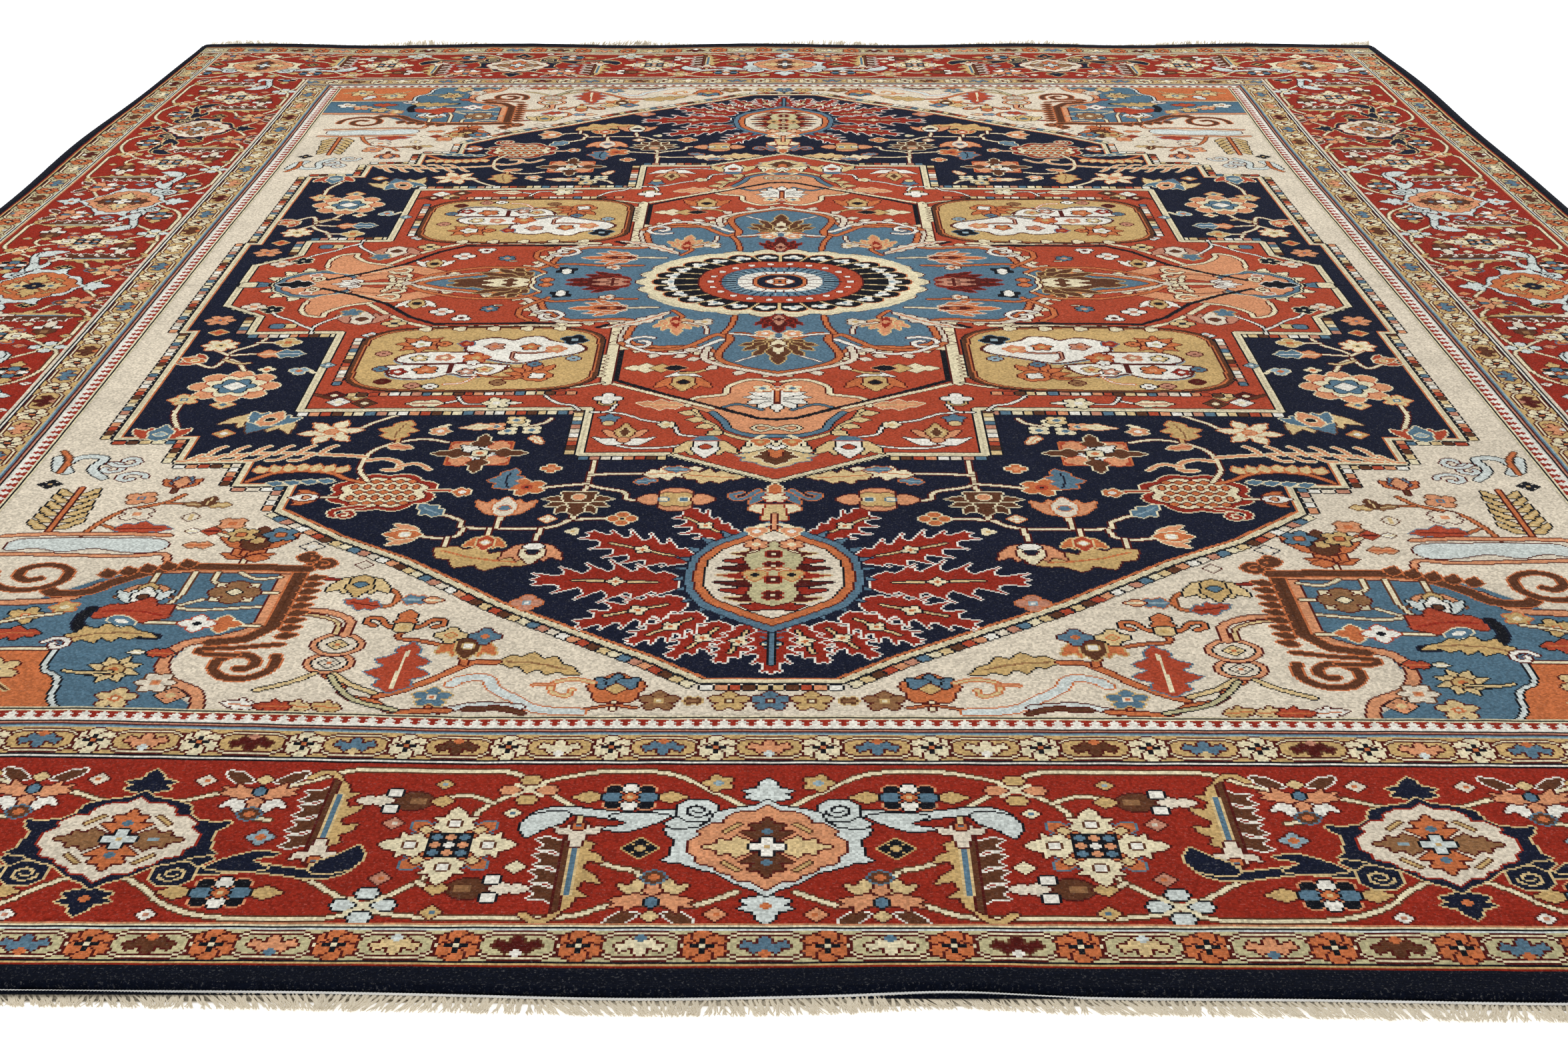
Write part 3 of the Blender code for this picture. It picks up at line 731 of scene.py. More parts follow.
# On the medallion: the red ground with its coral branches, a gold cartouche in each quarter, and the blue
# centre with the oval rosette of stepped rings.
def red_ground(q):
    outline = knots(RED_GROUND)
    paint(q, plot(outline + [(-1, 402), (-1, 720)]), "red")
    for first, (n, deep) in enumerate(((2, 5), (3, 5), (5, 5), (6, 5), (7, 4.4))):
        a, b = outline[n], outline[n + 1]
        bricks(q, a, b, 1, first * 3 + 1, deep=deep)
    paint(q, outline, "ink", line=5.8)
    paint(q, outline, "cream", line=4.2)
    paint(q, [(x + 1, y - 1) for x, y in outline], "ink", line=0.9)
    # lower point
    pen = brush(q, 0, 441)
    pen(toothed(26, 21, 4, 0.3) * -1 + 6j, "straw", "blue")
    pen(toothed(20, 12, 3, 0.4) * -1 + 4j, "brown", "cream")
    for s in (-1, 1):
        pen(smooth([(0, 10), (s * 8, 14), (s * 16, 9), (s * 17, 0), (s * 9, 3)], closed=True), "cream",
            "ink")
    pen(toothed(14, 5, 2) * -1 + 6j, "rust", "maroon")
    pen(lobed(4, 5, 0.5) + 8j, "white", "ink")
    stem(q, (0, 450), (4, 458), (12, 458), (14, 450), wool="cream", edge="ink")
    # wandering white stems with ink edges
    white = {"wool": "white", "edge": "ink", "line": 1.6}
    stem(q, (36, 462), (50, 465), (54, 478), (62, 482), (72, 486), (84, 495), (100, 497), **white)
    stem(q, (44, 453), (56, 448), (74, 447), (86, 452), **white)
    stem(q, (88, 508), (90, 500), (94, 497), **white)
    stem(q, (108, 500), (112, 507), (120, 510), (128, 520), (131, 531), **white)
    stem(q, (160, 510), (172, 510), (177, 520), **white)
    stem(q, (184, 511), (178, 514), **white)
    blossom(q, 58, 479, 5, 5, "cream", "ink", "straw")
    tulip(q, 36, 450, 180, 1.4, "white", "straw", "ink", "red")
    pen = brush(q, 36, 457)
    pen([(-8, 0), (8, 0), (4, 6), (-4, 6)], "blue", "red")
    pen = brush(q, 80, 458)
    for s in (-1, 1):
        pen(smooth([(0, -4), (s * 8, -7), (s * 17, 4), (s * 12, 2), (s * 4, 2)], closed=True), "white",
            "ink")
        petal = mirrored(s, [(3, 2), (9, 6), (12, 14), (7, 12), (4, 8)])
        pen(smooth(petal, closed=True), "salmon", "maroon")
    pen(toothed(24, 6, 1), "gold", "maroon")
    pen(toothed(13, 3, 1) + 5j, "brown", "straw")
    pen(oval(3), "salmon", "maroon")
    pen = brush(q, 90, 486)
    pen(lobed(5, 6, 0.3, turn=90) + 2j, "blue", "maroon")
    pen(oval(3.5, y=-5), "straw", "maroon")
    pen = brush(q, 93, 515)
    pen(oval(5, 4.5, y=-4), "gold", "ink")
    pen(lobed(4, 8, 0.5, sharp=0.6) + 2j, "white", "ink")
    # the salmon arabesque around the lower axis
    both = [(0, 462), (12, 463), (24, 470), (28, 482), (34, 494), (48, 506), (46, 516), (30, 522), (26, 530),
        (26, 538), (14, 546), (4, 540), (0, 532)]
    body = both_sides(both)
    paint(q, body, "salmon", "ink")
    paint(q, smooth([(0, 463), (13, 464), (24, 472), (28, 484), (34, 496)]), "blue", "ink", line=3.4)
    paint(q, smooth([(5, 457), (16, 459), (28, 468), (33, 478), (40, 488), (44, 500)]), "straw", "ink",
        line=2.6)
    paint(q, smooth([(48, 505), (45, 517), (34, 521), (28, 524), (26, 536), (14, 546), (2, 542)]), "cream",
        "maroon", line=2.8)
    for n in range(4):
        paint(q, toothed(10, 4, 1) * np.exp(-2.2j + 0.3j * n) + complex(28 + 5 * n, 470 + 8 * n), "straw",
            "ink")
    pen = brush(q, 0, 520)
    for a in (0, 28, 55, 85, 112):
        pen(turned(toothed(24 - a * 0.07, 5, 2), 180 + a), "white", "ink")
        pen(turned(toothed(24 - a * 0.07, 5, 2), 180 - a), "white", "ink")
    pen([(-2, -12), (2, -12), (2, 14), (-2, 14)], "maroon", "white")
    pen([(0, -8), (0, 12)], "rust", line=1.2)
    paint(q, smooth([(0, 474), (8, 478), (12, 474), (8, 470), (3, 473)]), "cream", "ink", line=1.6)
    paint(q, smooth([(8, 500), (20, 508), (28, 504)]), "blue", "ink", line=1.6)
    leaf(q, 50, 507, -90, 0.9, "salmon", "cream", "straw", curve=10, length=30, width=9, teeth=3)
    # the dark six-sided line with its pale serrated companion
    paint(q, [(0, 486), (10, 488), (30, 502), (60, 522), (91, 545), (91, 636), (100, 640), (108, 634)],
        "ink", line=3.4)
    pale = [(34, 502), (62, 520), (96, 542)]
    paint(q, pale, "cream", "maroon", line=2.8)
    paint(q, [(96, 540), (96, 634)], "cream", "maroon", line=5.4)
    paint(q, [(98, 541), (108, 536), (128, 531)], "cream", "ink", line=2)
    for n in range(7):
        y = 552 + 5.4 * n
        paint(q, toothed(7, 2.4, 1) * -1j + complex(98, y), "cream", "brown")
    line = [(112, 641), (150, 642), (206, 641), (222, 654), (240, 680), (262, 698), (283, 711)]
    paint(q, line, "ink", line=3.2)
    paint(q, [(120, 637), (160, 637), (208, 635), (224, 645), (238, 662), (252, 682), (270, 698)], "cream",
        "maroon", line=3.2)
    for n in range(7):
        paint(q, lobed(3, 3.5, 0.3) + complex(134 + 12 * n, 634), "brown" if n % 3 == 2 else "cream",
            "maroon")
    # flowers on the red
    for x, y, wool, heart in ((205, 664, "white", "pink"), (318, 677, "ivory", "salmon"),
            (230, 643, "straw", "navy")):
        blossom(q, x, y, 4, 7, wool, "ink" if wool != "ivory" else "maroon", heart, degrees=0)
    blossom(q, 192, 652, 3, 6, "white", "ink", "maroon", degrees=90)
    tulip(q, 222, 681, 180, 1, "gold", "white", "brown", "ink")
    tulip(q, 250, 650, 0, 1.35, "ivory", "pink", "maroon", "brown")
    tulip(q, 52, 543, 180, 1.35, "gold", "rust", "maroon", "ink")
    pen = brush(q, 52, 552)
    pen([(-11, -2), (-3, 6), (3, 6), (11, -2), (0, 0)], "white", "ink")
    pen = brush(q, 62, 564, -90)
    pen(toothed(26, 8, 3, 0.5), "cream", "brown")
    pen(toothed(12, 7, 1) - 2j, "gold", "maroon")
    pen(toothed(14, 5, 1) * -1 + 2j, "ink", "salmon")
    stem(q, (36, 566), (44, 558), (54, 556), wool="gold")
    blossom(q, 155, 511, 5, 8, "cream", "ink", "white")
    leaf(q, 150, 511, 90, 0.5, "cream", "ink", "white", length=20, width=4, teeth=1, curve=0)
    leaf(q, 184, 511, -90, 0.8, "cream", "ink", "pink", length=26, width=8, teeth=2, curve=0)
    for a, b, wool in ((232, 522, "gold"), (240, 514, "white"), (226, 512, "brown"), (244, 524, "maroon")):
        blossom(q, a, b, 4, 6, wool, "ink", "cream")
    stem(q, (246, 520), (254, 526), wool="brown")
    blossom(q, 256, 572, 4, 4, "sky", "ink", "white")
    stem(q, (275, 626), (275, 640), (266, 654), (260, 662), **white)
    stem(q, (276, 634), (284, 642), (290, 650), (300, 658), (306, 668), **white)
    pen = brush(q, 258, 664)
    pen(lobed(5, 7, 0.45, turn=90), "blue", "gold")
    blossom(q, 306, 671, 5, 7, "ink", "cream", "navy", "cream")
    pen = brush(q, 290, 640)
    for a, wool in ((0, "straw"), (7, "blue")):
        pen(lobed(4, 4.5, 0.2, turn=45) + a, wool, "ink")
    blossom(q, 240, 622, 4, 5, "ice", "ink", "pink")
    # the side palmette and its split leaves
    pen = brush(q, 288, 720)
    ring = lobed(12, 26, 0.06)
    for n in range(7):
        pen(toothed(13, 4, 1) * np.exp(1j * (-0.5 * np.pi - 1.25 + 0.42 * n)) + 23
            * np.exp(1j * (-1.25 + 0.42 * n)), "cream", "ink")
    pen(ring * 1.08, "cream", "ink")
    pen(ring, "blue", "ink")
    pen(ring * 0.84, "salmon", "maroon")
    pen(toothed(24, 9, 3, 0.5) * -1j + 2, "ink", "white")
    for s in (-1, 1):
        pen(coil(5, 1.1, start=-90 * s) + 2 + 11j * s, "cream", "maroon", line=2)
        pen(lobed(3, 3.2, 0.2) + 4 - 18j * s, "pink", "white")
    pen([(30, -3), (38, -6), (38, 6), (30, 3)], "blue", "ink")
    pen(lobed(4, 6, 0.3, turn=45) + 42, "cream", "ink")
    paint(q, smooth([(218, 700), (236, 690), (246, 694), (258, 704)]), "salmon", "maroon", line=13)
    paint(q, smooth([(236, 720), (246, 706), (262, 710)]), "salmon", "maroon", line=10)
    for y, x, start in ((704, 238, 0), (692, 240, 30), (713, 236, -20)):
        paint(q, coil(8, 0.8, start=start) + complex(x, y), "cream", "maroon", line=2.8)
    pen = brush(q, 262, 720, -90)
    for a in (-60, -30, 0, 30, 60):
        pen(toothed(18 - abs(a) * 0.1, 4, 1) * np.exp(1j * np.radians(a)), "white", "maroon")
    pen([(0, -22), (0, 0)], "cream", "maroon", line=3)
    paint(q, smooth([(236, 686), (256, 696), (270, 700), (284, 694), (290, 680), (286, 664), (276, 656),
        (272, 668), (262, 678), (250, 684)], closed=True), "salmon", "cream")
    paint(q, smooth([(250, 682), (264, 676), (273, 664), (274, 656), (284, 660), (289, 672), (288, 686)]),
        "cream", "maroon", line=2.6)
    paint(q, line[-4:], "ink", line=3.2)


def cartouche(q):
    outline = knots([(104, 118), (107, 101), (122, 90), (150, 86), (196, 86), (224, 90), (238, 101),
        (241, 118), (241, 158), (238, 175), (224, 186), (196, 190), (150, 190), (122, 186), (107, 175),
        (104, 158)])
    z = smooth(outline, closed=True)
    middle = 172 + 582j
    bricks(q, (112, 531), (238, 530), -1, 2, deep=5)
    bricks(q, (241, 540), (241, 618), -1, 4, deep=4.6)
    paint(q, (z - middle) * 1.03 + middle, "brown", "ink")
    paint(q, (z - middle) * 0.995 + middle, "rust")
    paint(q, (z - middle) * 0.965 + middle, "gold", "maroon")
    for n in range(5):
        paint(q, lobed(3, 4, 0.2) + complex(130 + 20 * n, 632), "cream", "maroon")
    clouds = (
        [(112, 596), (116, 589), (128, 583), (138, 578), (150, 573), (164, 578), (174, 584), (181, 592),
        (183, 603), (178, 612),
        (166, 616), (156, 612), (150, 617), (140, 618), (134, 611), (124, 606), (116, 604)],
        [(174, 590), (186, 592), (206, 592), (216, 588), (220, 580), (214, 574), (200, 573), (184, 574),
        (176, 580)],
        [(155, 570), (158, 560), (166, 553), (178, 552), (186, 556), (196, 550), (210, 549), (220, 554),
        (222, 563), (224, 570),
        (206, 572), (190, 572), (172, 573)],
    )
    for cloud in clouds:
        paint(q, smooth([(a + 1, b - 2) for a, b in cloud], closed=True), "sky")
        paint(q, smooth(cloud, closed=True), "white", "maroon")
    for cloud in clouds:
        paint(q, smooth(cloud + cloud[:1]), "maroon", line=1.5)
    stem(q, (154, 592), (154, 580), (150, 576), wool="pink", line=1.2)
    stem(q, (128, 594), (140, 590), (152, 590), wool="pink", line=1.2)
    stem(q, (187, 571), (188, 558), wool="maroon", line=1.2)
    for x, y, r, wool, edge, heart in (
        (130, 596, 6, "salmon", "rust", "straw"), (145, 600, 6, "rust", "ink", "gold"),
        (166, 601, 6, "pink", "maroon", "rust"),
        (175, 582, 8, "rust", "brick", "gold"), (193, 583, 5, "pink", "rust", "cream"),
        (207, 582, 5, "straw", "ink", "white"),
        (168, 563, 5, "straw", "maroon", "rust"), (178, 560, 5, "pink", "ink", "white"),
        (201, 563, 7, "rust", "ink", "salmon"),
        (216, 560, 5, "brick", "maroon", "white"), (183, 606, 5, "brick", "blue", "rust"),
        (176, 574, 4, "white", "maroon", "ice"),
    ):
        blossom(q, x, y, 5, r, wool, edge, heart, degrees=x * 7 % 40)
    pen = brush(q, 138, 554, -40)
    for a in (-70, -40, -12, 16, 44, 72):
        pen(turned(toothed(19, 4, 2), a), "rust", "maroon")
    pen(lobed(5, 9, 0.2) - 2j, "rust", "maroon")
    pen(lobed(4, 5, 0.4) - 2j, "white", "ink")
    pen = brush(q, 209, 606)
    for n in range(8):
        pen(toothed(15, 4, 1) * np.exp(1j * np.pi * n / 4), "rust", "maroon")
    pen(lobed(5, 6, 0.3), "white", "ink")
    pen(oval(2), "sage")
    pen = brush(q, 120, 612)
    pen(lobed(4, 8, 0.5, turn=20, sharp=0.6), "ink", "blue")
    pen(oval(2.2), "sky")
    for x, y, wool in ((158, 542, "tan_brown"), (195, 537, "white"), (222, 545, "maroon"), (118, 580, "sky"),
            (205, 538, "pink"), (140, 571, "blue"), (228, 590, "pink"), (226, 565, "deep_blue"),
            (196, 606, "rust")):
        blossom(q, x, y, 4, 4.5, wool, "ink" if wool == "white" else "maroon", "brown")
    stem(q, (150, 550), (166, 552), (172, 556), wool="rust", line=1.2)
    stem(q, (172, 552), (178, 542), (188, 540), wool="white", edge="rust", line=1.2)


def centre_ground(q):
    outline = knots(CENTRE_GROUND)
    edge = smooth(outline, steps=5)
    paint(q, np.concatenate([edge, plot([(-1, 554), (-1, 720)])]), "blue")
    for a, b in zip(edge[:-1:2], edge[1::2]):
        out = (b - a) / abs(b - a) * 1j
        paint(q, toothed(8, 3.6, 1) * out * -1j + a, "cream", "maroon")
    paint(q, edge, "ivory", "maroon", line=4.2)
    inner = (edge - 720j) * 0.965 + 720j
    paint(q, inner, "rust", "maroon", line=3.2)
    # curls where the lobes meet
    for x, y, r, start, flip in ((140, 655, 11, 40, 0), (80, 606, 11, 50, 1)):
        z = coil(r, 1.15, start=start)
        z = -np.conj(z) if flip else z
        paint(q, z + complex(x, y), "white", "maroon", line=2.8)
    paint(q, smooth([(150, 646), (158, 656), (158, 668), (150, 680), (142, 690)]), "rust", "maroon",
        line=3)
    paint(q, smooth([(92, 606), (84, 596), (68, 594), (54, 598), (44, 610), (36, 620), (30, 616)]), "rust",
        "maroon", line=3.4)
    paint(q, smooth([(88, 602), (74, 590), (60, 588), (48, 594), (38, 606), (32, 612)]), "white", "maroon",
        line=3)
    # the drop at the end of the long axis, and the pointed lobe at the side
    drop = [(0, 612), (10, 614), (20, 622), (28, 620), (28, 610), (32, 596), (34, 584), (30, 574), (18, 564),
        (0, 556)]
    body = smooth(drop)
    paint(q, np.concatenate([body, -np.conj(body)[::-1]]), "blue", "maroon")
    paint(q, body, "rust", "maroon", line=3.6)
    paint(q, smooth([(0, 552), (20, 562), (34, 570), (42, 580), (40, 598)]), "ivory", "maroon", line=3.6)
    for n, (x, y) in enumerate(((20, 560), (34, 568), (44, 580), (46, 594), (52, 586), (70, 588))):
        paint(q, toothed(9, 3.4, 1) * np.exp(1j * np.radians((200, 220, 250, 270, 240, 200)[n])) + complex(x,
            y), "ivory", "maroon")
    side = smooth([(150, 700), (160, 690), (176, 688), (194, 690), (212, 698), (224, 706), (232, 715)])
    paint(q, side, "rust", "maroon", line=3)
    for x, y, degrees, length, wool, edge_wool, inner_wool in (
        (94, 716, -90, 42, "maroon", "brick", "pink"), (0, 656, 180, 34, "maroon", "brick", "pink"),
        (156, 716, -90, 54, "brown", "gold", "cream"), (0, 612, 180, 44, "brown", "gold", "cream"),
        (92, 669, -90, 38, "rust", "ivory", "maroon"), (62, 652, 176, 34, "salmon", "straw", "brick"),
    ):
        pen = brush(q, x, y, degrees)
        for a in (-64, 64, -46, 46, -26, 26) if wool == "brown" else (-36, 36, -20, 20):
            pen(toothed(length * (0.85 - abs(a) / 220), length * 0.12, 3, 0.5) * np.exp(1j * np.radians(a)),
                wool, edge_wool)
        pen(toothed(length, length * 0.17, 3, 0.4), wool, edge_wool)
        pen(toothed(length * 0.6, length * 0.11, 2, 0.4), inner_wool, wool)
        pen(lobed(4, length * 0.09, 0.5) + length * 0.26j, wool, inner_wool)
    stem(q, (74, 670), (92, 669), wool="cream")
    stem(q, (88, 686), (112, 686), (138, 682), (146, 686), wool="rust", line=2.6)
    stem(q, (26, 654), (28, 636), (32, 622), wool="rust", line=2.6)
    stem(q, (0, 613), (12, 618), (28, 622), wool="white", line=2)
    stem(q, (150, 702), (156, 712), (154, 722), wool="cream", line=1.8)
    stem(q, (42, 622), (44, 636), (56, 642), wool="ivory", line=2)
    stem(q, (12, 584), (24, 574), wool="white", line=1.2)
    blossom(q, 44, 643, 3, 6, "ivory", "brown", "gold")
    blossom(q, 147, 715, 4, 4.5, "rust", "maroon", "salmon")
    blossom(q, 106, 690, 3, 5, "ivory", "maroon", "rust")
    pen = brush(q, 136, 696)
    pen(lobed(4, 8, 0.45, turn=30), "ink", "blue")
    pen(toothed(13, 4, 2) - 4j, "white", "ink")
    leaf(q, 66, 662, -140, 1, "ivory", "maroon", "rust", curve=20, length=52, width=6, teeth=6)
    stem(q, (64, 664), (58, 654), (58, 650), wool="rust")


def rosette(q):
    """The stepped rings at the middle of the rug."""
    middle = 719.5j
    def ring(rx, ry, wool, edge=None, square=2.6):
        a = np.linspace(0, 2 * np.pi, 64, endpoint=False)
        c, s = np.cos(a), np.sin(a)
        k = (abs(c) ** square + abs(s) ** square) ** (-1 / square)
        paint(q, rx * k * c + 1j * ry * k * s + middle, wool, edge)
    a = np.linspace(0, 2 * np.pi, 26, endpoint=False)
    for t in a:
        paint(q, lobed(3, 8, 0.15) + complex(82 * np.cos(t), 60 * np.sin(t)) + middle, "cream", "maroon")
    ring(84, 62, "cream")
    for t in a:
        at = complex(np.cos(t) * 72, np.sin(t) * 52) + middle
        paint(q, oval(7.6, 6.2) + at, "ink", "rust")
    ring(71, 51, "ink")
    for t in a:
        slant = np.exp(1j * t)
        at = complex(np.cos(t) * 68, np.sin(t) * 49.5) + middle
        for turn in (1, 1j, -1j):
            paint(q, oval(2.9, 2.3) * slant * turn + at + 3 * slant * turn, "white")
        paint(q, oval(1.6) + at, "sky")
        t += np.pi / 26
        paint(q, np.array([complex(50 * np.cos(t), 42 * np.sin(t)), complex(76 * np.cos(t), 55 * np.sin(t))])
            + middle, "straw", line=1.3)
    ring(50, 41, "red", "maroon", 2.3)
    for t in np.linspace(0, 2 * np.pi, 22, endpoint=False):
        paint(q, lobed(4, 2.1, 0.2, turn=45) + complex(43 * np.cos(t), 36 * np.sin(t)) + middle, "white",
            "brick")
    ring(36, 29, "blue", "brick", 2.4)
    for t in np.linspace(0, 2 * np.pi, 40, endpoint=False):
        z = complex(np.cos(t), np.sin(t) * 0.82)
        paint(q, np.array([z * 28, z * 37]) + middle, "ink", line=1)
        z = complex(np.cos(t + 0.08), np.sin(t + 0.08) * 0.82)
        paint(q, np.array([z * 28, z * 33]) + middle, "sky", line=1)
    ring(26, 20, "white", "deep_blue", 2.4)
    for t in np.linspace(0.1, 2 * np.pi + 0.1, 20, endpoint=False):
        z = complex(np.cos(t), np.sin(t) * 0.8)
        paint(q, np.array([z * 16, z * 27]) + middle, "maroon", line=0.9)
    ring(16, 14.5, "rust", "maroon")
    ring(13, 12, "navy", "ink")
    paint(q, lobed(4, 8, 0.5, sharp=0.7) + middle, "white", "rust")
    paint(q, lobed(4, 4.4, 0.4, turn=45) + middle, "rust", "maroon")
    paint(q, oval(1.4) + middle, "navy")


# Behind the medallion: the ivory field with its branches, and in each corner a blue and orange shield.
def ivory_field(q):
    pen = brush(q, 62, 199)
    pen(lobed(5, 12, 0.2, turn=90, squash=1.05), "rust", "maroon")
    for a in (-45, 0, 45):
        pen(turned(toothed(13, 5, 1), a), "blue", "ink")
    pen(lobed(4, 4, 0.3), "gold", "maroon")
    stem(q, (62, 188), (62, 182))
    stem(q, (62, 186), (52, 183), wool="rust", line=1.2)
    stem(q, (62, 186), (74, 182), wool="rust", line=1.2)
    paint(q, smooth([(72, 204), (80, 207), (88, 204), (88, 196), (82, 193), (80, 198)]), "straw", "rust",
        line=1.6)
    stem(q, (88, 203), (97, 202), wool="salmon", edge="rust", line=1.2)
    for n, (x, wool, heart) in enumerate(((0, "blue", "maroon"), (16, "gold", "brown"),
            (44, "tan_brown", "gold"))):
        blossom(q, x, 189, 5, 8, wool, "maroon", heart, "cream", degrees=90)
    leaf(q, 34, 189, 90, 0.5, "brown", "gold", "tan_brown", length=16, width=8, teeth=2, curve=0)
    paint(q, smooth([(75, 180), (92, 182), (102, 190), (112, 199), (117, 208), (126, 207), (131, 202)]),
        "ice", "rust", line=5)
    paint(q, smooth([(100, 184), (116, 186), (128, 182), (134, 179)]), "ice", "maroon", line=3.4)
    paint(q, smooth([(98, 179), (108, 183), (122, 182)]), "brown", "maroon", line=3)
    blossom(q, 137, 191, 5, 8, "blue", "gold", "ivory", "rust", degrees=90)
    stem(q, (137, 184), (137, 178), wool="rust", line=1.2)
    leaf(q, 114, 222, 92, 1, "gold", "ink", "tan_brown", curve=22, length=38, width=9, teeth=4)
    vine = {"wool": "rust", "edge": "maroon", "line": 3}
    stem(q, (114, 222), (124, 221), (132, 214), (140, 205), (150, 196), (160, 190), **vine)
    stem(q, (128, 219), (130, 228), (130, 232), **vine)
    stem(q, (134, 232), (148, 238), (160, 240), (160, 246), wool="rust", line=1.8)
    stem(q, (128, 181), (150, 179), (160, 186), (172, 190), (178, 202), (184, 206), **vine)
    leaf(q, 155, 194, 0, 1.15, "red", "blue", "cream", curve=4, length=38, width=12, teeth=4)
    tulip(q, 129, 236, 180, 1.1, "brown", "rust", "gold", "white")
    pen = brush(q, 130, 241)
    pen(lobed(4, 7, 0.4) - 7 + 3j, "blue", "maroon")
    pen(lobed(4, 7, 0.4) + 8 + 3j, "straw", "ink")
    pen(oval(2) - 7 + 3j, "rust")
    pen(oval(2) + 8 + 3j, "gold", "rust")
    pen = brush(q, 160, 254)
    for s in (-1, 1):
        pen(smooth(mirrored(s, [(2, -6), (8, -2), (11, 3), (16, 4), (17, 0), (13, -3)])), "rust", "ink",
            line=2.6)
    pen(toothed(17, 6, 2) - 4j, "rust", "ink")
    pen(oval(4.5, y=-4), "straw", "ink")
    pen(oval(2, y=-4), "gold")
    # the pink ogee chain between the field and the corner piece
    for y, r in ((217, 10), (233, 11)):
        paint(q, oval(r, r * 0.9, x=185, y=y), "salmon", "maroon")
        paint(q, oval(r - 3, (r - 3) * 0.9, x=185, y=y), "ivory", "ink")
        blossom(q, 185, y, 4, 4, "straw" if r == 11 else "ivory", "ink", "rust")
    for s in (-1, 1):
        paint(q, smooth([(185 + s * 4, 208), (185 + s * 12, 200), (185 + s * 24, 193)]), "straw", "ink",
            line=2.4)
    paint(q, smooth([(150, 180), (166, 186), (176, 196), (182, 206)]), "sage", "ink", line=2.2)
    paint(q, smooth([(184, 242), (184, 254), (194, 262), (208, 264), (216, 264)]), "salmon", "maroon",
        line=3.4)
    paint(q, smooth([(188, 242), (189, 252), (197, 258), (208, 260), (216, 259)]), "straw", "maroon",
        line=1.4)
    for x, wool in ((172, "gold"), (184, "straw"), (206, "white")):
        leaf(q, x, 180, -80, 0.5, wool, "maroon", "rust", length=28, width=10, teeth=3, curve=0)
    leaf(q, 192, 180, -86, 0.6, "red", "maroon", "rust", length=26, width=9, teeth=3, curve=0)
    # sprays between the medallion and the corner piece
    stem(q, (184, 288), (172, 285), (168, 278), (170, 270), (178, 269), wool="rust", edge="brown", line=1.6)
    stem(q, (196, 294), (214, 297), wool="brick", edge="maroon", line=1.8)
    tulip(q, 187, 291, 180, 1.2, "gold", "straw", "ink", "blue")
    leaf(q, 174, 269, -80, 0.7, "red", "blue", "maroon", length=26, width=9, teeth=3, curve=12)
    leaf(q, 166, 276, 90, 0.7, "blue", "rust", "sky", length=20, width=8, teeth=2, curve=0)
    leaf(q, 156, 276, 90, 0.6, "salmon", "maroon", "cream", length=16, width=6, teeth=1, curve=0)
    paint(q, diamond(4, 189, 310), "ivory", "maroon")
    blossom(q, 217, 329, 4, 5, "ivory", "navy", "white")
    # the large flower over the corner piece
    stem(q, (244, 306), (244, 318))
    pen = brush(q, 244, 316)
    for a in (-70, -35, 0, 35, 70):
        pen(turned(toothed(13, 3.5, 1), a), "rust", "maroon")
    pen(toothed(11, 4, 1) * 1j, "rust", "maroon")
    tulip(q, 243, 334, 0, 1.5, "brown", "rust", "maroon", "gold")
    for s, wool in ((-1, "blue"), (1, "gold")):
        pen = brush(q, 243 + s * 9, 342)
        pen(lobed(5, 8, 0.4), wool, "ink")
        pen(oval(2.4), "rust", "brown")
    stem(q, (258, 340), (266, 346))
    blossom(q, 259, 355, 4, 7, "salmon", "brown", "rust", degrees=45)
    leaf(q, 262, 346, -90, 0.6, "red", "brown", "maroon", length=16, width=8, teeth=1, curve=0)
    leaf(q, 272, 346, -90, 0.6, "white", "brown", "cream", length=12, width=5, teeth=1, curve=0)
    leaf(q, 262, 330, -90, 0.6, "salmon", "brown", "rust", length=24, width=7, teeth=2, curve=0)
    stem(q, (290, 390), (297, 380), (312, 372), (320, 358), (324, 342), wool="rust", edge="brown", line=2)
    stem(q, (296, 392), (296, 402), wool="brown", line=1.4)
    stem(q, (286, 379), (296, 380), wool="rust", edge="brown", line=1.4)
    pen = brush(q, 295, 402)
    for a, wool in ((-40, "rust"), (40, "rust"), (-15, "blue"), (15, "blue"), (0, "salmon")):
        pen(turned(toothed(15, 4, 1), a) - 3j, wool, "maroon")
    blossom(q, 309, 386, 4, 8, "salmon", "brown", "blue", "rust", degrees=30)
    blossom(q, 306, 367, 4, 8, "ivory", "maroon", "salmon", degrees=45)
    for x, y, degrees, wool in ((276, 377, 90, "gold"), (276, 377, -80, "tan_brown"),
            (277, 376, 10, "brown")):
        leaf(q, x, y, degrees, 0.5, wool, "brown", "straw", length=24, width=8, teeth=2, curve=0)
    leaf(q, 280, 358, 0, 0.5, "ivory", "brown", "straw", length=20, width=8, teeth=1, curve=0)
    leaf(q, 312, 349, 84, 0.75, "red", "blue", "maroon", length=36, width=11, teeth=3, curve=10)
    stem(q, (312, 350), (318, 354), wool="rust", edge="brown", line=1.4)
    stem(q, (340, 344), (340, 400), wool="rust", edge="maroon", line=1.8)
    for n in range(6):
        y = 350 + 8 * n
        for s in (-1, 1):
            leaf(q, 340 + s * 2, y, -s * 52, 0.62, "gold", "ink", "straw", length=26 - 1.5 * n, width=5,
                teeth=2, curve=s * 20)
    paint(q, smooth([(282, 328), (286, 336), (300, 338), (340, 339), (352, 336), (352, 326), (340, 328),
        (328, 324), (314, 327), (300, 323), (288, 322)], closed=True), "ice", "maroon")
    paint(q, smooth([(284, 341), (300, 343), (342, 344), (358, 342)]), "salmon", "maroon", line=3)
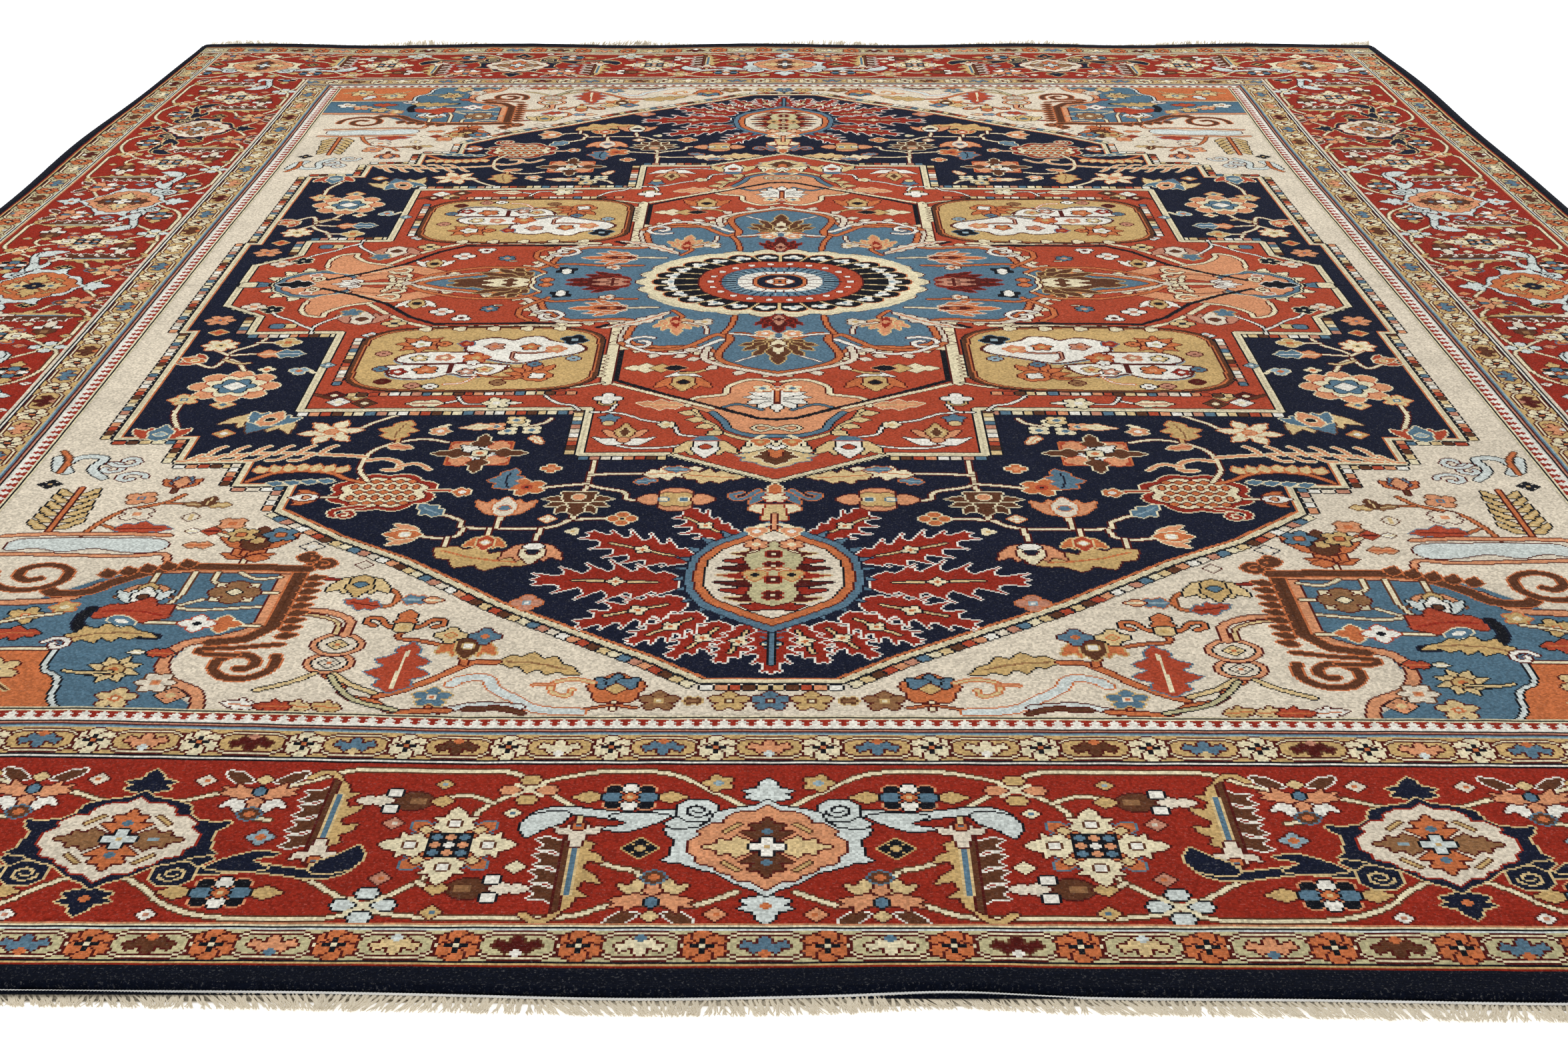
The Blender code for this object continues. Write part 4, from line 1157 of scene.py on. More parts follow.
    paint(q, smooth([(278, 312), (282, 320), (300, 318), (340, 321), (356, 322)]), "salmon", "maroon",
        line=2.6)
    blossom(q, 356, 405, 4, 6, "ink", "ivory", "navy", "gold")
    for x, y, start, flip in ((322, 412, 0, 1), (334, 424, 60, 0), (328, 434, 200, 1)):
        z = coil(8, 0.9, start=start)
        paint(q, (-np.conj(z) if flip else z) + complex(x, y), "ice", "maroon", line=2.8)
    paint(q, smooth([(334, 412), (342, 424), (340, 438), (350, 440), (356, 430), (352, 420), (358, 424),
        (362, 440)]), "ice", "ink", line=4.2)
    paint(q, smooth([(356, 420), (356, 436), (362, 448)]), "rust", "brown", line=2.2)


def corner_piece(q):
    outline = knots(SHIELD)
    z = plot(outline)
    paint(q, z, "deep_blue")
    paint(q, [(299, 226), (298, 208), (290, 200), (287, 184), (283, 177), (368, 177), (368, 226)], "rust",
        "maroon")
    paint(q, [(300, 225), (368, 225)], "cream", "maroon", line=2)
    paint(q, smooth([(299, 226), (298, 208), (290, 200), (287, 184), (283, 177)]), "ice", "ink", line=2)
    # the brown bracket with its pink inner line
    inner = [(222, 304), (222, 252), (232, 238), (248, 230), (252, 214), (246, 200), (232, 190), (228, 176)]
    paint(q, smooth(inner), "salmon", "maroon", line=4.6)
    paint(q, smooth([(220, 302), (262, 302), (282, 299), (300, 286), (308, 274), (320, 270), (368, 268)]),
        "salmon", "maroon", line=4.4)
    paint(q, [(216, 306), (216, 248), (224, 236), (238, 232)], "brown", "rust", line=5.4)
    paint(q, smooth([(214, 305), (258, 306), (278, 302), (294, 290), (302, 280), (316, 278), (322, 284)]),
        "brown", "rust", line=6)
    for n in range(9):
        y = 238 + 7 * n
        paint(q, turned(toothed(10, 3.4, 1), 70) + complex(213, y), "brown", "rust")
    for n in range(5):
        paint(q, turned(toothed(11, 4, 1), -20) + complex(266 + 8 * n, 304 - 2.6 * n), "brown", "rust")
    for x, y, r, start, flip in ((221, 214, 15, 150, 0), (330, 298, 19, 170, 1), (208, 310, 6, 0, 0),
            (215, 317, 5, 90, 1)):
        coiled = coil(r, 1.35, start=start)
        paint(q, (-np.conj(coiled) if flip else coiled) + complex(x, y), "brown", "rust",
            line=4 if r > 9 else 2.6)
    paint(q, smooth([(208, 232), (226, 228), (240, 226), (238, 222), (224, 222)]), "brown", "rust", line=3)
    # inside the blue
    grid = {"wool": "cream", "edge": "brown", "line": 1.8}
    for points in ([(224, 296), (234, 294), (242, 300)], [(252, 300), (252, 292), (247, 286)],
            [(222, 280), (232, 280)], [(252, 272), (264, 264), (282, 262), (294, 262)],
            [(226, 266), (250, 262), (262, 264)], [(262, 300), (262, 278), (266, 264)],
            [(222, 248), (236, 248)], [(256, 249), (270, 249)]):
        stem(q, *points, **grid)
    pen = brush(q, 240, 280)
    pen([(-9, -9), (9, -9), (9, 9), (-9, 9)], "cream", "brown")
    pen(lobed(4, 11, 0.55, sharp=0.5), "tan_brown", "maroon")
    pen(oval(2.6), "cream", "ink")
    pen = brush(q, 240, 249)
    pen(lobed(4, 8, 0.5) - 3, "rust", "cream")
    pen(lobed(4, 8, 0.5) + 8, "white", "red")
    pen(oval(2, x=8), "ink")
    stem(q, (278, 298), (278, 286), **grid)
    tulip(q, 278, 281, 180, 1, "gold", "salmon", "brown", "cream")
    tulip(q, 278, 273, 0, 1, "white", "ice", "ink", "brown")
    leaf(q, 262, 254, -64, 1.2, "red", "maroon", "brick", length=30, width=12, teeth=3, curve=-30)
    pen = brush(q, 280, 250, 30)
    pen(oval(7, 4), "blue", "cream")
    pen(oval(3, 1.6), "white")
    paint(q, smooth([(296, 262), (298, 250), (292, 240), (278, 238), (262, 236)]), "ink", "navy", line=4.6)
    leaf(q, 300, 232, 62, 1, "gold", "ink", "tan_brown", length=40, width=9, teeth=5, curve=34)
    paint(q, coil(6, 1, start=20) + 300 + 229j, "white", "maroon", line=2.4)
    pen = brush(q, 270, 207)
    for n in range(8):
        pen(toothed(12, 3.4, 1) * np.exp(1j * np.pi * (n / 4 + 0.1)), "straw", "ink")
    pen(oval(4), "gold", "brown")
    pen(oval(1.6), "rust")
    leaf(q, 250, 222, -92, 0.6, "red", "ink", "rust", length=20, width=8, teeth=2, curve=0)
    leaf(q, 262, 222, -92, 0.5, "cream", "ink", "white", length=14, width=5, teeth=1, curve=0)
    blossom(q, 250, 197, 6, 8, "ivory", "brown", "salmon", "rust")
    blossom(q, 262, 184, 5, 8, "straw", "maroon", "rust", "cream", degrees=20)
    blossom(q, 241, 187, 4, 6, "salmon", "ink", "straw")
    blossom(q, 308, 264, 5, 6, "gold", "rust", "cream")
    paint(q, smooth([(270, 205), (282, 204), (290, 206)]), "straw", "ink", line=1.4)
    for x, y, wool in ((322, 256, "gold"), (338, 248, "salmon"), (352, 240, "white")):
        blossom(q, x, y, 5, 8, wool, "ink", "rust", "cream", degrees=x)
    stem(q, (308, 258), (322, 254), (338, 246), (352, 238), **grid)
    leaf(q, 330, 238, 80, 0.8, "red", "ink", "rust", length=26, width=9, teeth=3, curve=10)
    for x, y in ((318, 206), (346, 196)):
        blossom(q, x, y, 6, 11, "straw", "maroon", "blue", "cream", degrees=x)
    stem(q, (306, 190), (318, 200), (334, 200), (346, 192), (362, 196), wool="brown", edge="straw", line=1.4)
    leaf(q, 334, 206, -30, 0.7, "ice", "maroon", "white", length=22, width=8, teeth=2, curve=0)


# The cartoon put together: the filling flowers, the borders along the end and the side, and the whole
# quarter.
def scatter(q, ground, gap, kinds, seed):
    """Small flowers on short stems wherever the ground is still bare."""
    draw = np.random.default_rng(seed)
    for y in range(200, 712, gap):
        for x in range(12, 330, gap):
            a, b = x + int(draw.integers(-4, 5)), y + int(draw.integers(-4, 5))
            wool, edge, heart = kinds[draw.integers(len(kinds))]
            count, way = int(draw.integers(3, 7)), np.exp(1j * draw.uniform(0, 2 * np.pi))
            if (q[b - 9 : b + 10, a - 9 : a + 10] == DYE[ground]).all():
                paint(q, np.array([0, 6 * way, 9 * way * 1j**0.3]) + complex(a, b), "cream", edge, line=1.2)
                blossom(q, a, b, count, 5.6, wool, edge, heart, degrees=x * 7 % 50)


def main_border():
    """The main band along the end, seen from the outside in."""
    end = np.hstack([main_unit("ice", "navy"), main_unit("ice", "navy")[:, ::-1],
        main_unit("ice", "ice")])[:, :540]
    for x, kind in ((0, "ice"), (229, "navy"), (458, "corner")):
        draw_flower(end, x, kind)
    return end


def draw_flower(band, x, kind, y=None):
    look = {"ice": ("ice", "ink", "salmon", "brown", "straw", "white"), "navy": ("navy", "straw", "ivory",
        "rust", "tan_brown", "ice"), "rust": ("ice", "ink", "rust", "straw", "gold", "navy"),
        "corner": ("cream", "ink", "salmon", "brown", "straw", "ice")}
    ringed_palmette(band, x, y or (46 if kind == "ice" else 49), *look[kind])


def side_border():
    """Along the side, from the middle of the rug (0) to the corner."""
    parts = [stretched(main_unit("ice", "ice")[::-1], 192), stretched(main_unit("navy", "ice")[::-1, ::-1],
        210), stretched(main_unit("navy", "ice")[::-1], 218), main_unit("ice", "ice")[::-1, ::-1]]
    band = np.hstack(parts)[:, :720]
    for x, kind in ((0, "rust"), (192, "ice"), (402, "navy"), (620, "corner")):
        draw_flower(band, x, kind, 49)
    return band


def chart():
    """A quarter of the rug: rows from the near end, columns from the middle line."""
    q = np.full((720, 540), DYE["ivory"], np.uint8)
    ivory_field(q)
    corner_piece(q)
    medallion(q)
    red_ground(q)
    centre_ground(q)
    cartouche(q)
    rosette(q)
    scatter(q, "red", 15, [("cream", "ink", "rust"), ("gold", "maroon", "white"), ("blue", "ink", "salmon"),
        ("salmon", "maroon", "cream"), ("white", "ink", "pink")], 3)
    scatter(q, "navy", 15, [("rust", "cream", "gold"), ("gold", "rust", "ink"), ("sky", "cream", "rust"),
        ("salmon", "cream", "white"), ("cream", "rust", "blue")], 8)
    guard = np.full((18, 720), DYE["guard"], np.uint8)
    side_guard = np.full((9, 720), DYE["guard"], np.uint8)
    bands = [
        (guard, side_guard, 0, 0), (outer_minor(23, 540), outer_minor(24, 720), 18, 9),
        (main_border(), side_border(), 41, 33),
        (inner_minor(24, 540), inner_minor(25, 720), 142, 136), (dogtooth(11, 540), dogtooth(11, 720), 166,
        161),
    ]
    for end, side, row, column in reversed(bands):
        high, deep = end.shape[0], side.shape[0]
        q[:, 540 - column - deep : 540 - column] = side.T[::-1, ::-1]
        q[row : row + high, : 540 - column] = end[:, : 540 - column]
    return q


quarter = chart()
half = np.hstack([quarter[:, ::-1], quarter])
cartoon = np.vstack([half, half[::-1]]).astype(np.float64)
DOGTOOTH_KNOTS = 379  # from the middle line of the rug to the outside of the dogtooth band
PLAY = 0.00015  # metres that a zone stands back from the line it shares with the next
KNOT = (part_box("dogtooth_far")[1].x + PLAY) / DOGTOOTH_KNOTS
ACROSS, ALONG = cartoon.shape[1] // 2, cartoon.shape[0] // 2  # faces of 2 x 2 knots over the whole rug

# ---------------------------------------------------------------------------
# How the rug lies: a hand-knotted rug isn't quite straight. Its wefts bow towards the near end at the
# sides, its ends are a little uneven, and its rim doesn't lie quite flat. Every piece is moved by this
# one rule.
# ---------------------------------------------------------------------------
def settle(points):
    """Where points of the straight rug lie on the floor, in metres."""
    x, y = points[:, 0], points[:, 1]
    out = points.copy()
    u, v = x / high[0], y / high[1]
    # Along the rug: bowed wefts, a near end pulled out unevenly over a slack strip, and a far end dipped
    # in places.
    bow = 0.0178 * np.minimum(abs(x) / 0.76, 1.25) ** 2 * np.clip(1 - v**2, 0, 1) * (0.85 + 0.25 * v)
    from_end, far = (1 + v) * high[1], np.exp(-((1 - v) * high[1] / 0.16))
    near = np.exp(-((from_end / 0.065) ** 2))
    inside = np.clip((0.425 - from_end) / 0.06, 0, 1)
    slack = 0.0095 + 0.0075 * np.exp(-(((from_end - 0.046) / 0.045) ** 2))
    slack *= np.clip((from_end - 0.022) / 0.040, 0, 1) * inside**2 * (3 - 2 * inside)
    pulled = 0.0085 + 0.0075 * np.exp(-(((x + 0.62) / 0.30) ** 2)) - 0.0035 * np.exp(-(((x + 0.08)
        / 0.12) ** 2))
    pulled += 0.0070 * np.exp(-(((x - 0.15) / 0.07) ** 2)) - 0.0075 * np.exp(-(((x - 0.58) / 0.20) ** 2))
    dipped = 0.0045 * np.exp(-(((x + 0.97) / 0.09) ** 2)) + 0.003 * np.exp(-(((x - 0.42) / 0.13) ** 2))
    dipped += 0.0015 * np.sin(x * 17 + 1)
    left = np.clip((-0.30 - x) / 0.40, 0, 1)
    wave = np.exp(-(((y + 1.25) / 0.30) ** 2)) * (0.026 * left - 0.009)
    from_far = (1 - v) * high[1]
    tight = 0.012 * np.exp(-(((from_far - 0.046) / 0.04) ** 2)) * np.clip(from_far / 0.03 - 0.8, 0, 1)
    out[:, 1] += -bow + pulled * near - slack - dipped * far + wave + tight
    # Across it: the long borders swell, the edges flare out a little, and the rim wanders.
    swell = np.clip(abs(x) / 0.55, 0, 1)
    swell = swell**2 * (3 - 2 * swell) * np.clip((high[0] - abs(x)) / 0.55, 0, 1)
    west = 0.027 * np.exp(-(((y + 0.85) / 0.95) ** 2)) - 0.020 * np.exp(-(((y - 1.45) / 0.45) ** 2))
    east = 0.010 * np.exp(-(((y + 0.30) / 1.10) ** 2)) + 0.018 * np.exp(-(((y - 1.40) / 0.40) ** 2))
    out[:, 0] += swell * np.where(x < 0, west, east)
    flare = np.clip((abs(x) - high[0] + 0.040) / 0.030, 0, 1)
    west = 0.011 * np.exp(-(((y - 0.85) / 0.30) ** 2))
    east = 0.004 + 0.014 * np.exp(-(((y - 1.35) / 0.42) ** 2))
    flare *= np.where(x > 0, east, west)
    out[:, 0] += np.sign(x) * flare
    side = np.exp(-((1 - abs(u)) * high[0] / 0.12)) * np.clip((1 - abs(v)) / 0.05, 0, 1)
    out[:, 0] -= np.sign(x) * side * (0.0022 + 0.0022 * np.sin(y * 5.3 + np.sign(x) * 1.7))
    # Upwards: the rim stands off the floor here and there, and the fringe comes back down to it.
    rim = near * (0.5 + 0.5 * np.sin(x * 15 + 0.6)) * 0.0018 + far * (0.5 + 0.5
        * np.sin(x * 11 + 2.2)) * 0.00495
    rim += side * (0.5 + 0.5 * np.sin(y * 9.1 + np.sign(x))) * 0.00225
    weave_end, fringe_fall = 1.8352, 0.017
    out[:, 2] += rim * (1 - np.clip((abs(y) - weave_end) / fringe_fall, 0, 1))
    return out


# ---------------------------------------------------------------------------
# Knotted pile, one piece for each colour area of the rug: wool knots about 2.5 mm apart, cut level 8 mm
# above the foundation. Each piece is a grid of knots over its area's own outline, with walls down to the
# foundation.
# ---------------------------------------------------------------------------
def srgb(code):
    part = [int(code[n : n + 2], 16) / 255 for n in (1, 3, 5)]
    return tuple(c / 12.92 if c <= 0.04045 else ((c + 0.055) / 1.055) ** 2.4 for c in part) + (1.0,)


def add(tree, kind, inputs=(), **settings):
    """A node with its settings and inputs: a value is set on the socket, and a socket is linked to it."""
    node = tree.nodes.new("ShaderNode" + kind)
    for name, value in settings.items():
        setattr(node, name, value)
    for key, value in dict(inputs).items():
        if isinstance(value, bpy.types.NodeSocket):
            tree.links.new(value, node.inputs[key])
        else:
            node.inputs[key].default_value = value
    return node


def maths(tree, operation, *values):
    return add(tree, "Math", dict(enumerate(values)), operation=operation).outputs[0]


def surface(tree, shader, colour, roughness, gloss, height, strength, depth):
    """A surface's colour, dullness and sheen, and the relief that is too fine to model."""
    tree.links.new(colour, shader.inputs["Base Color"])
    shader.inputs["Roughness"].default_value = roughness
    shader.inputs["Specular IOR Level"].default_value = gloss
    bump = add(tree, "Bump", {"Height": height, "Strength": strength, "Distance": depth})
    tree.links.new(bump.outputs[0], shader.inputs["Normal"])


def noise(tree, at, scale, **more):
    """Smooth noise over these places, of so many waves a metre."""
    inputs = {"Vector": at, "Scale": scale, "Detail": 2.0}
    return add(tree, "TexNoise", inputs | more).outputs[0]


def new_material(name):
    material = bpy.data.materials.new(name)
    material.use_nodes = True
    tree = material.node_tree
    return material, tree, tree.nodes["Principled BSDF"]


def dyed(tree, number):
    """The dye for a knot's number, as a colour."""
    ramp = tree.nodes.new("ShaderNodeValToRGB")
    ramp.color_ramp.interpolation = "CONSTANT"
    for n, code in enumerate(WOOLS.values()):
        stop = ramp.color_ramp.elements[n] if n < 2 else ramp.color_ramp.elements.new(n / BASE)
        stop.position = n / BASE
        stop.color = srgb(code)
    tree.links.new(maths(tree, "DIVIDE", maths(tree, "ADD", number, 0.5), float(BASE)), ramp.inputs[0])
    return ramp.outputs[0]


def shaded(tree, colour, *factors):
    """The colour made lighter or darker by each factor, where 0.5 leaves it as it is."""
    for factor, share in factors:
        change = maths(tree, "ADD", maths(tree, "MULTIPLY", maths(tree, "SUBTRACT", factor, 0.5), share),
            1.0)
        colour = add(tree, "HueSaturation", {"Value": change, "Color": colour}).outputs[0]
    return colour


def mixed(tree, share, one, other):
    return add(tree, "Mix", {0: share, 6: one, 7: other}, data_type="RGBA").outputs[2]


# Matt wool, cut across its fibres. Every knot has one dye, read from the cartoon, and took it a little
# more or less than its neighbours (own). The dye lots change in bands along the rug (abrash). Broad patches
# are painted lighter and darker, as painted sheen where the pile leans and as wear. The cut ends of the
# fibres are painted pale, as painted highlights, with painted shade in the dark gaps between them (tips),
# which the eye sees as a grain.
wool, tree, shader = new_material("hand-knotted dyed wool pile")
place = add(tree, "UVMap", uv_map="Knots").outputs[0]
across, along, _ = add(tree, "SeparateXYZ", {0: place}).outputs
column, row = maths(tree, "FLOOR", across), maths(tree, "FLOOR", along)
corner = maths(tree, "ADD", maths(tree, "MODULO", column, 2.0),
    maths(tree, "MULTIPLY", maths(tree, "MODULO", row, 2.0), 2.0))
packed = add(tree, "Attribute", attribute_name="knots").outputs["Fac"]
number = maths(tree, "MODULO", maths(tree, "FLOOR", maths(tree, "DIVIDE", maths(tree, "ADD", packed, 0.25),
    maths(tree, "POWER", float(BASE), corner))), float(BASE))
metres = add(tree, "TexCoord").outputs["Object"]
knot_at = add(tree, "CombineXYZ", {0: column, 1: row}).outputs[0]
own = add(tree, "TexWhiteNoise", {"Vector": knot_at}, noise_dimensions="2D").outputs["Value"]
lots = add(tree, "Mapping", {"Vector": metres, "Scale": (0.9, 14.0, 1.0)}).outputs[0]
abrash = noise(tree, lots, 1.0, Detail=3.0, Roughness=0.6)
# Broad patches painted lighter and darker: painted sheen where the pile leans, and wear.
nap_sheen_and_wear = noise(tree, metres, 7.0)
tips = noise(tree, metres, 400.0, Roughness=0.8)
# Painted highlights and shade: the fibre tips make the dye lighter on the cut ends and darker in the gaps
# between them.
colour = shaded(tree, dyed(tree, number), (own, 0.5), (abrash, 0.34), (nap_sheen_and_wear, 0.22), (tips, 0.9))
# Painted highlight: a pale grey is mixed over the brightest fibre tips, where they would catch the light.
painted_tip_highlight = maths(tree, "MULTIPLY", maths(tree, "MAXIMUM", maths(tree, "SUBTRACT", tips, 0.58), 0.0), 0.8)
colour = mixed(tree, painted_tip_highlight, colour, srgb("#CBC8C2"))
# Each knot stands up as a small tuft, with a furrow between the rows deeper than that between the columns.
from_middle = maths(tree, "ABSOLUTE", maths(tree, "SUBTRACT", maths(tree, "FRACT", along), 0.5))
from_side = maths(tree, "ABSOLUTE", maths(tree, "SUBTRACT", maths(tree, "FRACT", across), 0.5))
tuft = maths(tree, "SUBTRACT", 1.0, maths(tree, "ADD", maths(tree, "MULTIPLY", from_middle, 0.9),
    maths(tree, "MULTIPLY", from_side, 0.5)))
height = maths(tree, "ADD", maths(tree, "MULTIPLY", tuft, 0.6), maths(tree, "MULTIPLY", tips, 0.9))
surface(tree, shader, colour, 0.92, 0.06, height, strength=0.55, depth=0.0016)

# The pile's areas are the CAD pieces that rise over the foundation, selvedges and ends. Each face of 2 x
# 2 knots goes to the area whose outline it lies in, or lies nearest to.
PILE_OVER = 0.0117
zones = sorted(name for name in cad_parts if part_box(name)[1].z > PILE_OVER)
corners, faces, zone_of_face = [], [], []
for index, zone in enumerate(zones):
    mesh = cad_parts[zone].data
    for polygon in mesh.polygons:
        if polygon.normal.z > 0.9:
            faces.append([len(corners) + n for n in range(len(polygon.vertices))])
            corners += [mesh.vertices[n].co for n in polygon.vertices]
            zone_of_face.append(index)
outlines = BVHTree.FromPolygons(corners, faces)
TOP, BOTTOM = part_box("medallion_near")[1].z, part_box("medallion_near")[0].z
PILE_X, PILE_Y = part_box("guard_near")[1].x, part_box("guard_far")[1].y
columns, rows = (np.arange(ACROSS) * 2 + 1 - ACROSS) * KNOT, (np.arange(ALONG) * 2 + 1 - ALONG) * KNOT
owner = np.full((ALONG, ACROSS), -1)
for r, y in enumerate(rows):
    for c, x in enumerate(columns):
        if abs(x) < PILE_X and abs(y) < PILE_Y:
            owner[r, c] = zone_of_face[outlines.find_nearest((x, y, TOP))[2]]
packing = sum(BASE**n * cartoon[n // 2 :: 2, n % 2 :: 2] for n in range(4))


def read(mesh_data, what, width):
    values = np.empty(len(mesh_data) * width, np.float32)
    mesh_data.foreach_get(what, values)
    return values.reshape(-1, width).astype(float) if width > 1 else values


def lattice(name, nx, ny):
    """A flat grid of nx by ny faces, and where each of its corners is, in whole steps."""
    bpy.ops.object.select_all(action="DESELECT")
    bpy.ops.mesh.primitive_grid_add(x_subdivisions=nx, y_subdivisions=ny, size=1)
    piece = bpy.context.object
    piece.name = name
    piece.data.name = name
    steps = read(piece.data.vertices, "co", 3)
    return piece, np.round((steps[:, 0] + 0.5) * nx), np.round((steps[:, 1] + 0.5) * ny)


def place_vertices(piece, points):
    piece.data.vertices.foreach_set("co", points.astype(np.float32).ravel())
    piece.data.update()


def note_knots(piece, back=False):
    """Writes on each face which knots it covers, and on each corner where it is, counted in knots."""
    mesh = piece.data
    centre, normal = read(mesh.polygons, "center", 3), read(mesh.polygons, "normal", 3)
    inward = centre - normal * (0.3 * KNOT)
    if back:
        c = np.clip(inward[:, 0] / KNOT / 5 + ACROSS / 5, 0, ACROSS / 2.5 - 1).astype(int)
        r = np.clip(inward[:, 1] / KNOT / 5 + ALONG / 5, 0, ALONG / 2.5 - 1).astype(int)
        for line in range(5):
            value = sum(BASE**n * cartoon[line::5, n::5] for n in range(5))
            mesh.attributes.new(f"knots_{line}", "FLOAT", "FACE").data.foreach_set("value",
                value[r, c].astype(np.float32))
    else:
        c = np.clip(inward[:, 0] / KNOT / 2 + ACROSS / 2, 0, ACROSS - 1).astype(int)
        r = np.clip(inward[:, 1] / KNOT / 2 + ALONG / 2, 0, ALONG - 1).astype(int)
        mesh.attributes.new("knots", "FLOAT", "FACE").data.foreach_set("value",
            packing[r, c].astype(np.float32))
    count = np.empty(len(mesh.polygons), np.int32)
    mesh.polygons.foreach_get("loop_total", count)
    corner_of = np.empty(len(mesh.loops), np.int32)
    mesh.loops.foreach_get("vertex_index", corner_of)
    at = read(mesh.vertices, "co", 3)[corner_of] - np.repeat(normal, count, axis=0) * (0.2 * KNOT)
    layer = mesh.uv_layers.active or mesh.uv_layers.new()
    layer.name = "Knots"
    layer.data.foreach_set("uv", (at[:, :2] / KNOT + (ACROSS, ALONG)).astype(np.float32).ravel())


def finish_piece(piece, material, node):
    """Settles a piece with the rest of the rug, gives it its material, hides the CAD node it stands in for,
    and hangs it on the root body.
    """
    place_vertices(piece, settle(read(piece.data.vertices, "co", 3)))
    piece.data.materials.clear()
    piece.data.materials.append(material)
    piece.data.polygons.foreach_set("use_smooth", np.ones(len(piece.data.polygons), bool))
    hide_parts(node)
    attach(piece, "root")


def edit(*steps):
    bpy.context.tool_settings.mesh_select_mode = (False, False, True)
    bpy.ops.object.mode_set(mode="EDIT")
    for step in steps:
        step()
    bpy.ops.object.mode_set(mode="OBJECT")


def select_rim():
    bpy.ops.mesh.select_mode(type="EDGE")
    bpy.ops.mesh.select_all(action="SELECT")
    bpy.ops.mesh.region_to_loop()


def face_outwards():
    bpy.ops.mesh.select_mode(type="FACE")
    bpy.ops.mesh.select_all(action="SELECT")
    bpy.ops.mesh.normals_make_consistent(inside=False)


def thicken(depth):
    """Walls down from the rim of the grid, and a floor across them."""
    select_rim()
    bpy.ops.mesh.extrude_edges_move(TRANSFORM_OT_translate={"value": (0, 0, -depth)})
    bpy.ops.mesh.fill(use_beauty=False)
    face_outwards()


LOWER = 0.0022  # metres: the outermost knots are shorn lower, so that the rim is rounded off
SHEARING = 0.00025  # metres: the shears leave the pile this much higher or lower
for index, zone in enumerate(zones):
    mine = owner == index
    r, c = np.nonzero(mine)
    piece, i, j = lattice(zone + "_pile", int(c.max() - c.min() + 1), int(r.max() - r.min() + 1))
    x, y = (i + c.min() - ACROSS / 2) * 2 * KNOT, (j + r.min() - ALONG / 2) * 2 * KNOT
    place_vertices(piece, np.stack([x, y, np.full(len(x), TOP)], 1))
    centre = read(piece.data.polygons, "center", 3)
    keep = mine[(centre[:, 1] / KNOT / 2 + ALONG / 2).astype(int),
        (centre[:, 0] / KNOT / 2 + ACROSS / 2).astype(int)]
    if not keep.all():
        piece.data.vertices.foreach_set("select", np.zeros(len(x), bool))
        piece.data.edges.foreach_set("select", np.zeros(len(piece.data.edges), bool))
        piece.data.polygons.foreach_set("select", ~keep)
        edit(lambda: bpy.ops.mesh.delete(type="FACE"))
    edit(lambda: thicken(TOP - BOTTOM))
    note_knots(piece)
    points = read(piece.data.vertices, "co", 3)
    outer_x, outer_y = abs(points[:, 0]) > PILE_X - 1.1 * KNOT, abs(points[:, 1]) > PILE_Y - 0.9 * KNOT
    points[outer_x, 0] = np.sign(points[outer_x, 0]) * PILE_X
    points[outer_y, 1] = np.sign(points[outer_y, 1]) * PILE_Y
    points[(outer_x | outer_y) & (points[:, 2] > TOP - 1e-5), 2] -= LOWER
    wave = np.sin(points[:, 0] * 91 + 2 * np.sin(points[:, 1] * 37)) * np.sin(points[:, 1] * 83
        + np.sin(points[:, 0] * 41))
    points[:, 2] += (points[:, 2] > TOP - 1e-5) * wave * SHEARING
    place_vertices(piece, points)
    finish_piece(piece, wool, zone)

# ---------------------------------------------------------------------------
# Foundation: cotton warps and wefts 3.5 mm thick, with the backs of the knots showing underneath, so that
# the design is seen there too, paler and ribbed. It is one sheet, laid on the floor.
# ---------------------------------------------------------------------------
# Underneath, each knot shows as a round bead in its dye, whitened by the cotton it goes round, and
# between the rows of beads a thread of pale cotton weft runs across, so that the eye sees fine ribs.
back, tree, shader = new_material("knotted cotton foundation")
place = add(tree, "UVMap", uv_map="Knots").outputs[0]
across, along, _ = add(tree, "SeparateXYZ", {0: place}).outputs
column, row = maths(tree, "FLOOR", across), maths(tree, "FLOOR", along)
line = maths(tree, "MODULO", row, 5.0)
packed = 0.0
for n in range(5):
    part = add(tree, "Attribute", attribute_name=f"knots_{n}").outputs["Fac"]
    packed = maths(tree, "ADD", maths(tree, "MULTIPLY", part, maths(tree, "COMPARE", line, float(n), 0.4)),
        packed)
digit = maths(tree, "POWER", float(BASE), maths(tree, "MODULO", column, 5.0))
number = maths(tree, "MODULO", maths(tree, "FLOOR", maths(tree, "DIVIDE", maths(tree, "ADD", packed, 0.25),
    digit)), float(BASE))
metres = add(tree, "TexCoord").outputs["Object"]
thread = noise(tree, metres, 900.0)
weft = maths(tree, "GREATER_THAN", maths(tree, "FRACT", along), 0.76)
knot_back = shaded(tree, dyed(tree, number), (thread, 0.5))
cotton_weft = mixed(tree, thread, srgb("#B7AB93"), srgb("#D6CDB8"))
facing = add(tree, "NewGeometry").outputs["Normal"]
under = maths(tree, "LESS_THAN", add(tree, "SeparateXYZ", {0: facing}).outputs[2], -0.5)
knot_back = mixed(tree, 0.16, knot_back, srgb("#CFC5B0"))
shown = maths(tree, "MULTIPLY", under, maths(tree, "SUBTRACT", 1.0, weft))
colour = mixed(tree, shown, cotton_weft, knot_back)
round_along = maths(tree, "SINE", maths(tree, "MULTIPLY", along, math.pi))
bead = maths(tree, "MULTIPLY", round_along, maths(tree, "SINE", maths(tree, "MULTIPLY", across, math.pi)))
height = maths(tree, "ADD", maths(tree, "ABSOLUTE", bead), maths(tree, "MULTIPLY", thread, 0.3))
surface(tree, shader, colour, 0.9, 0.2, height, strength=0.6, depth=0.0009)

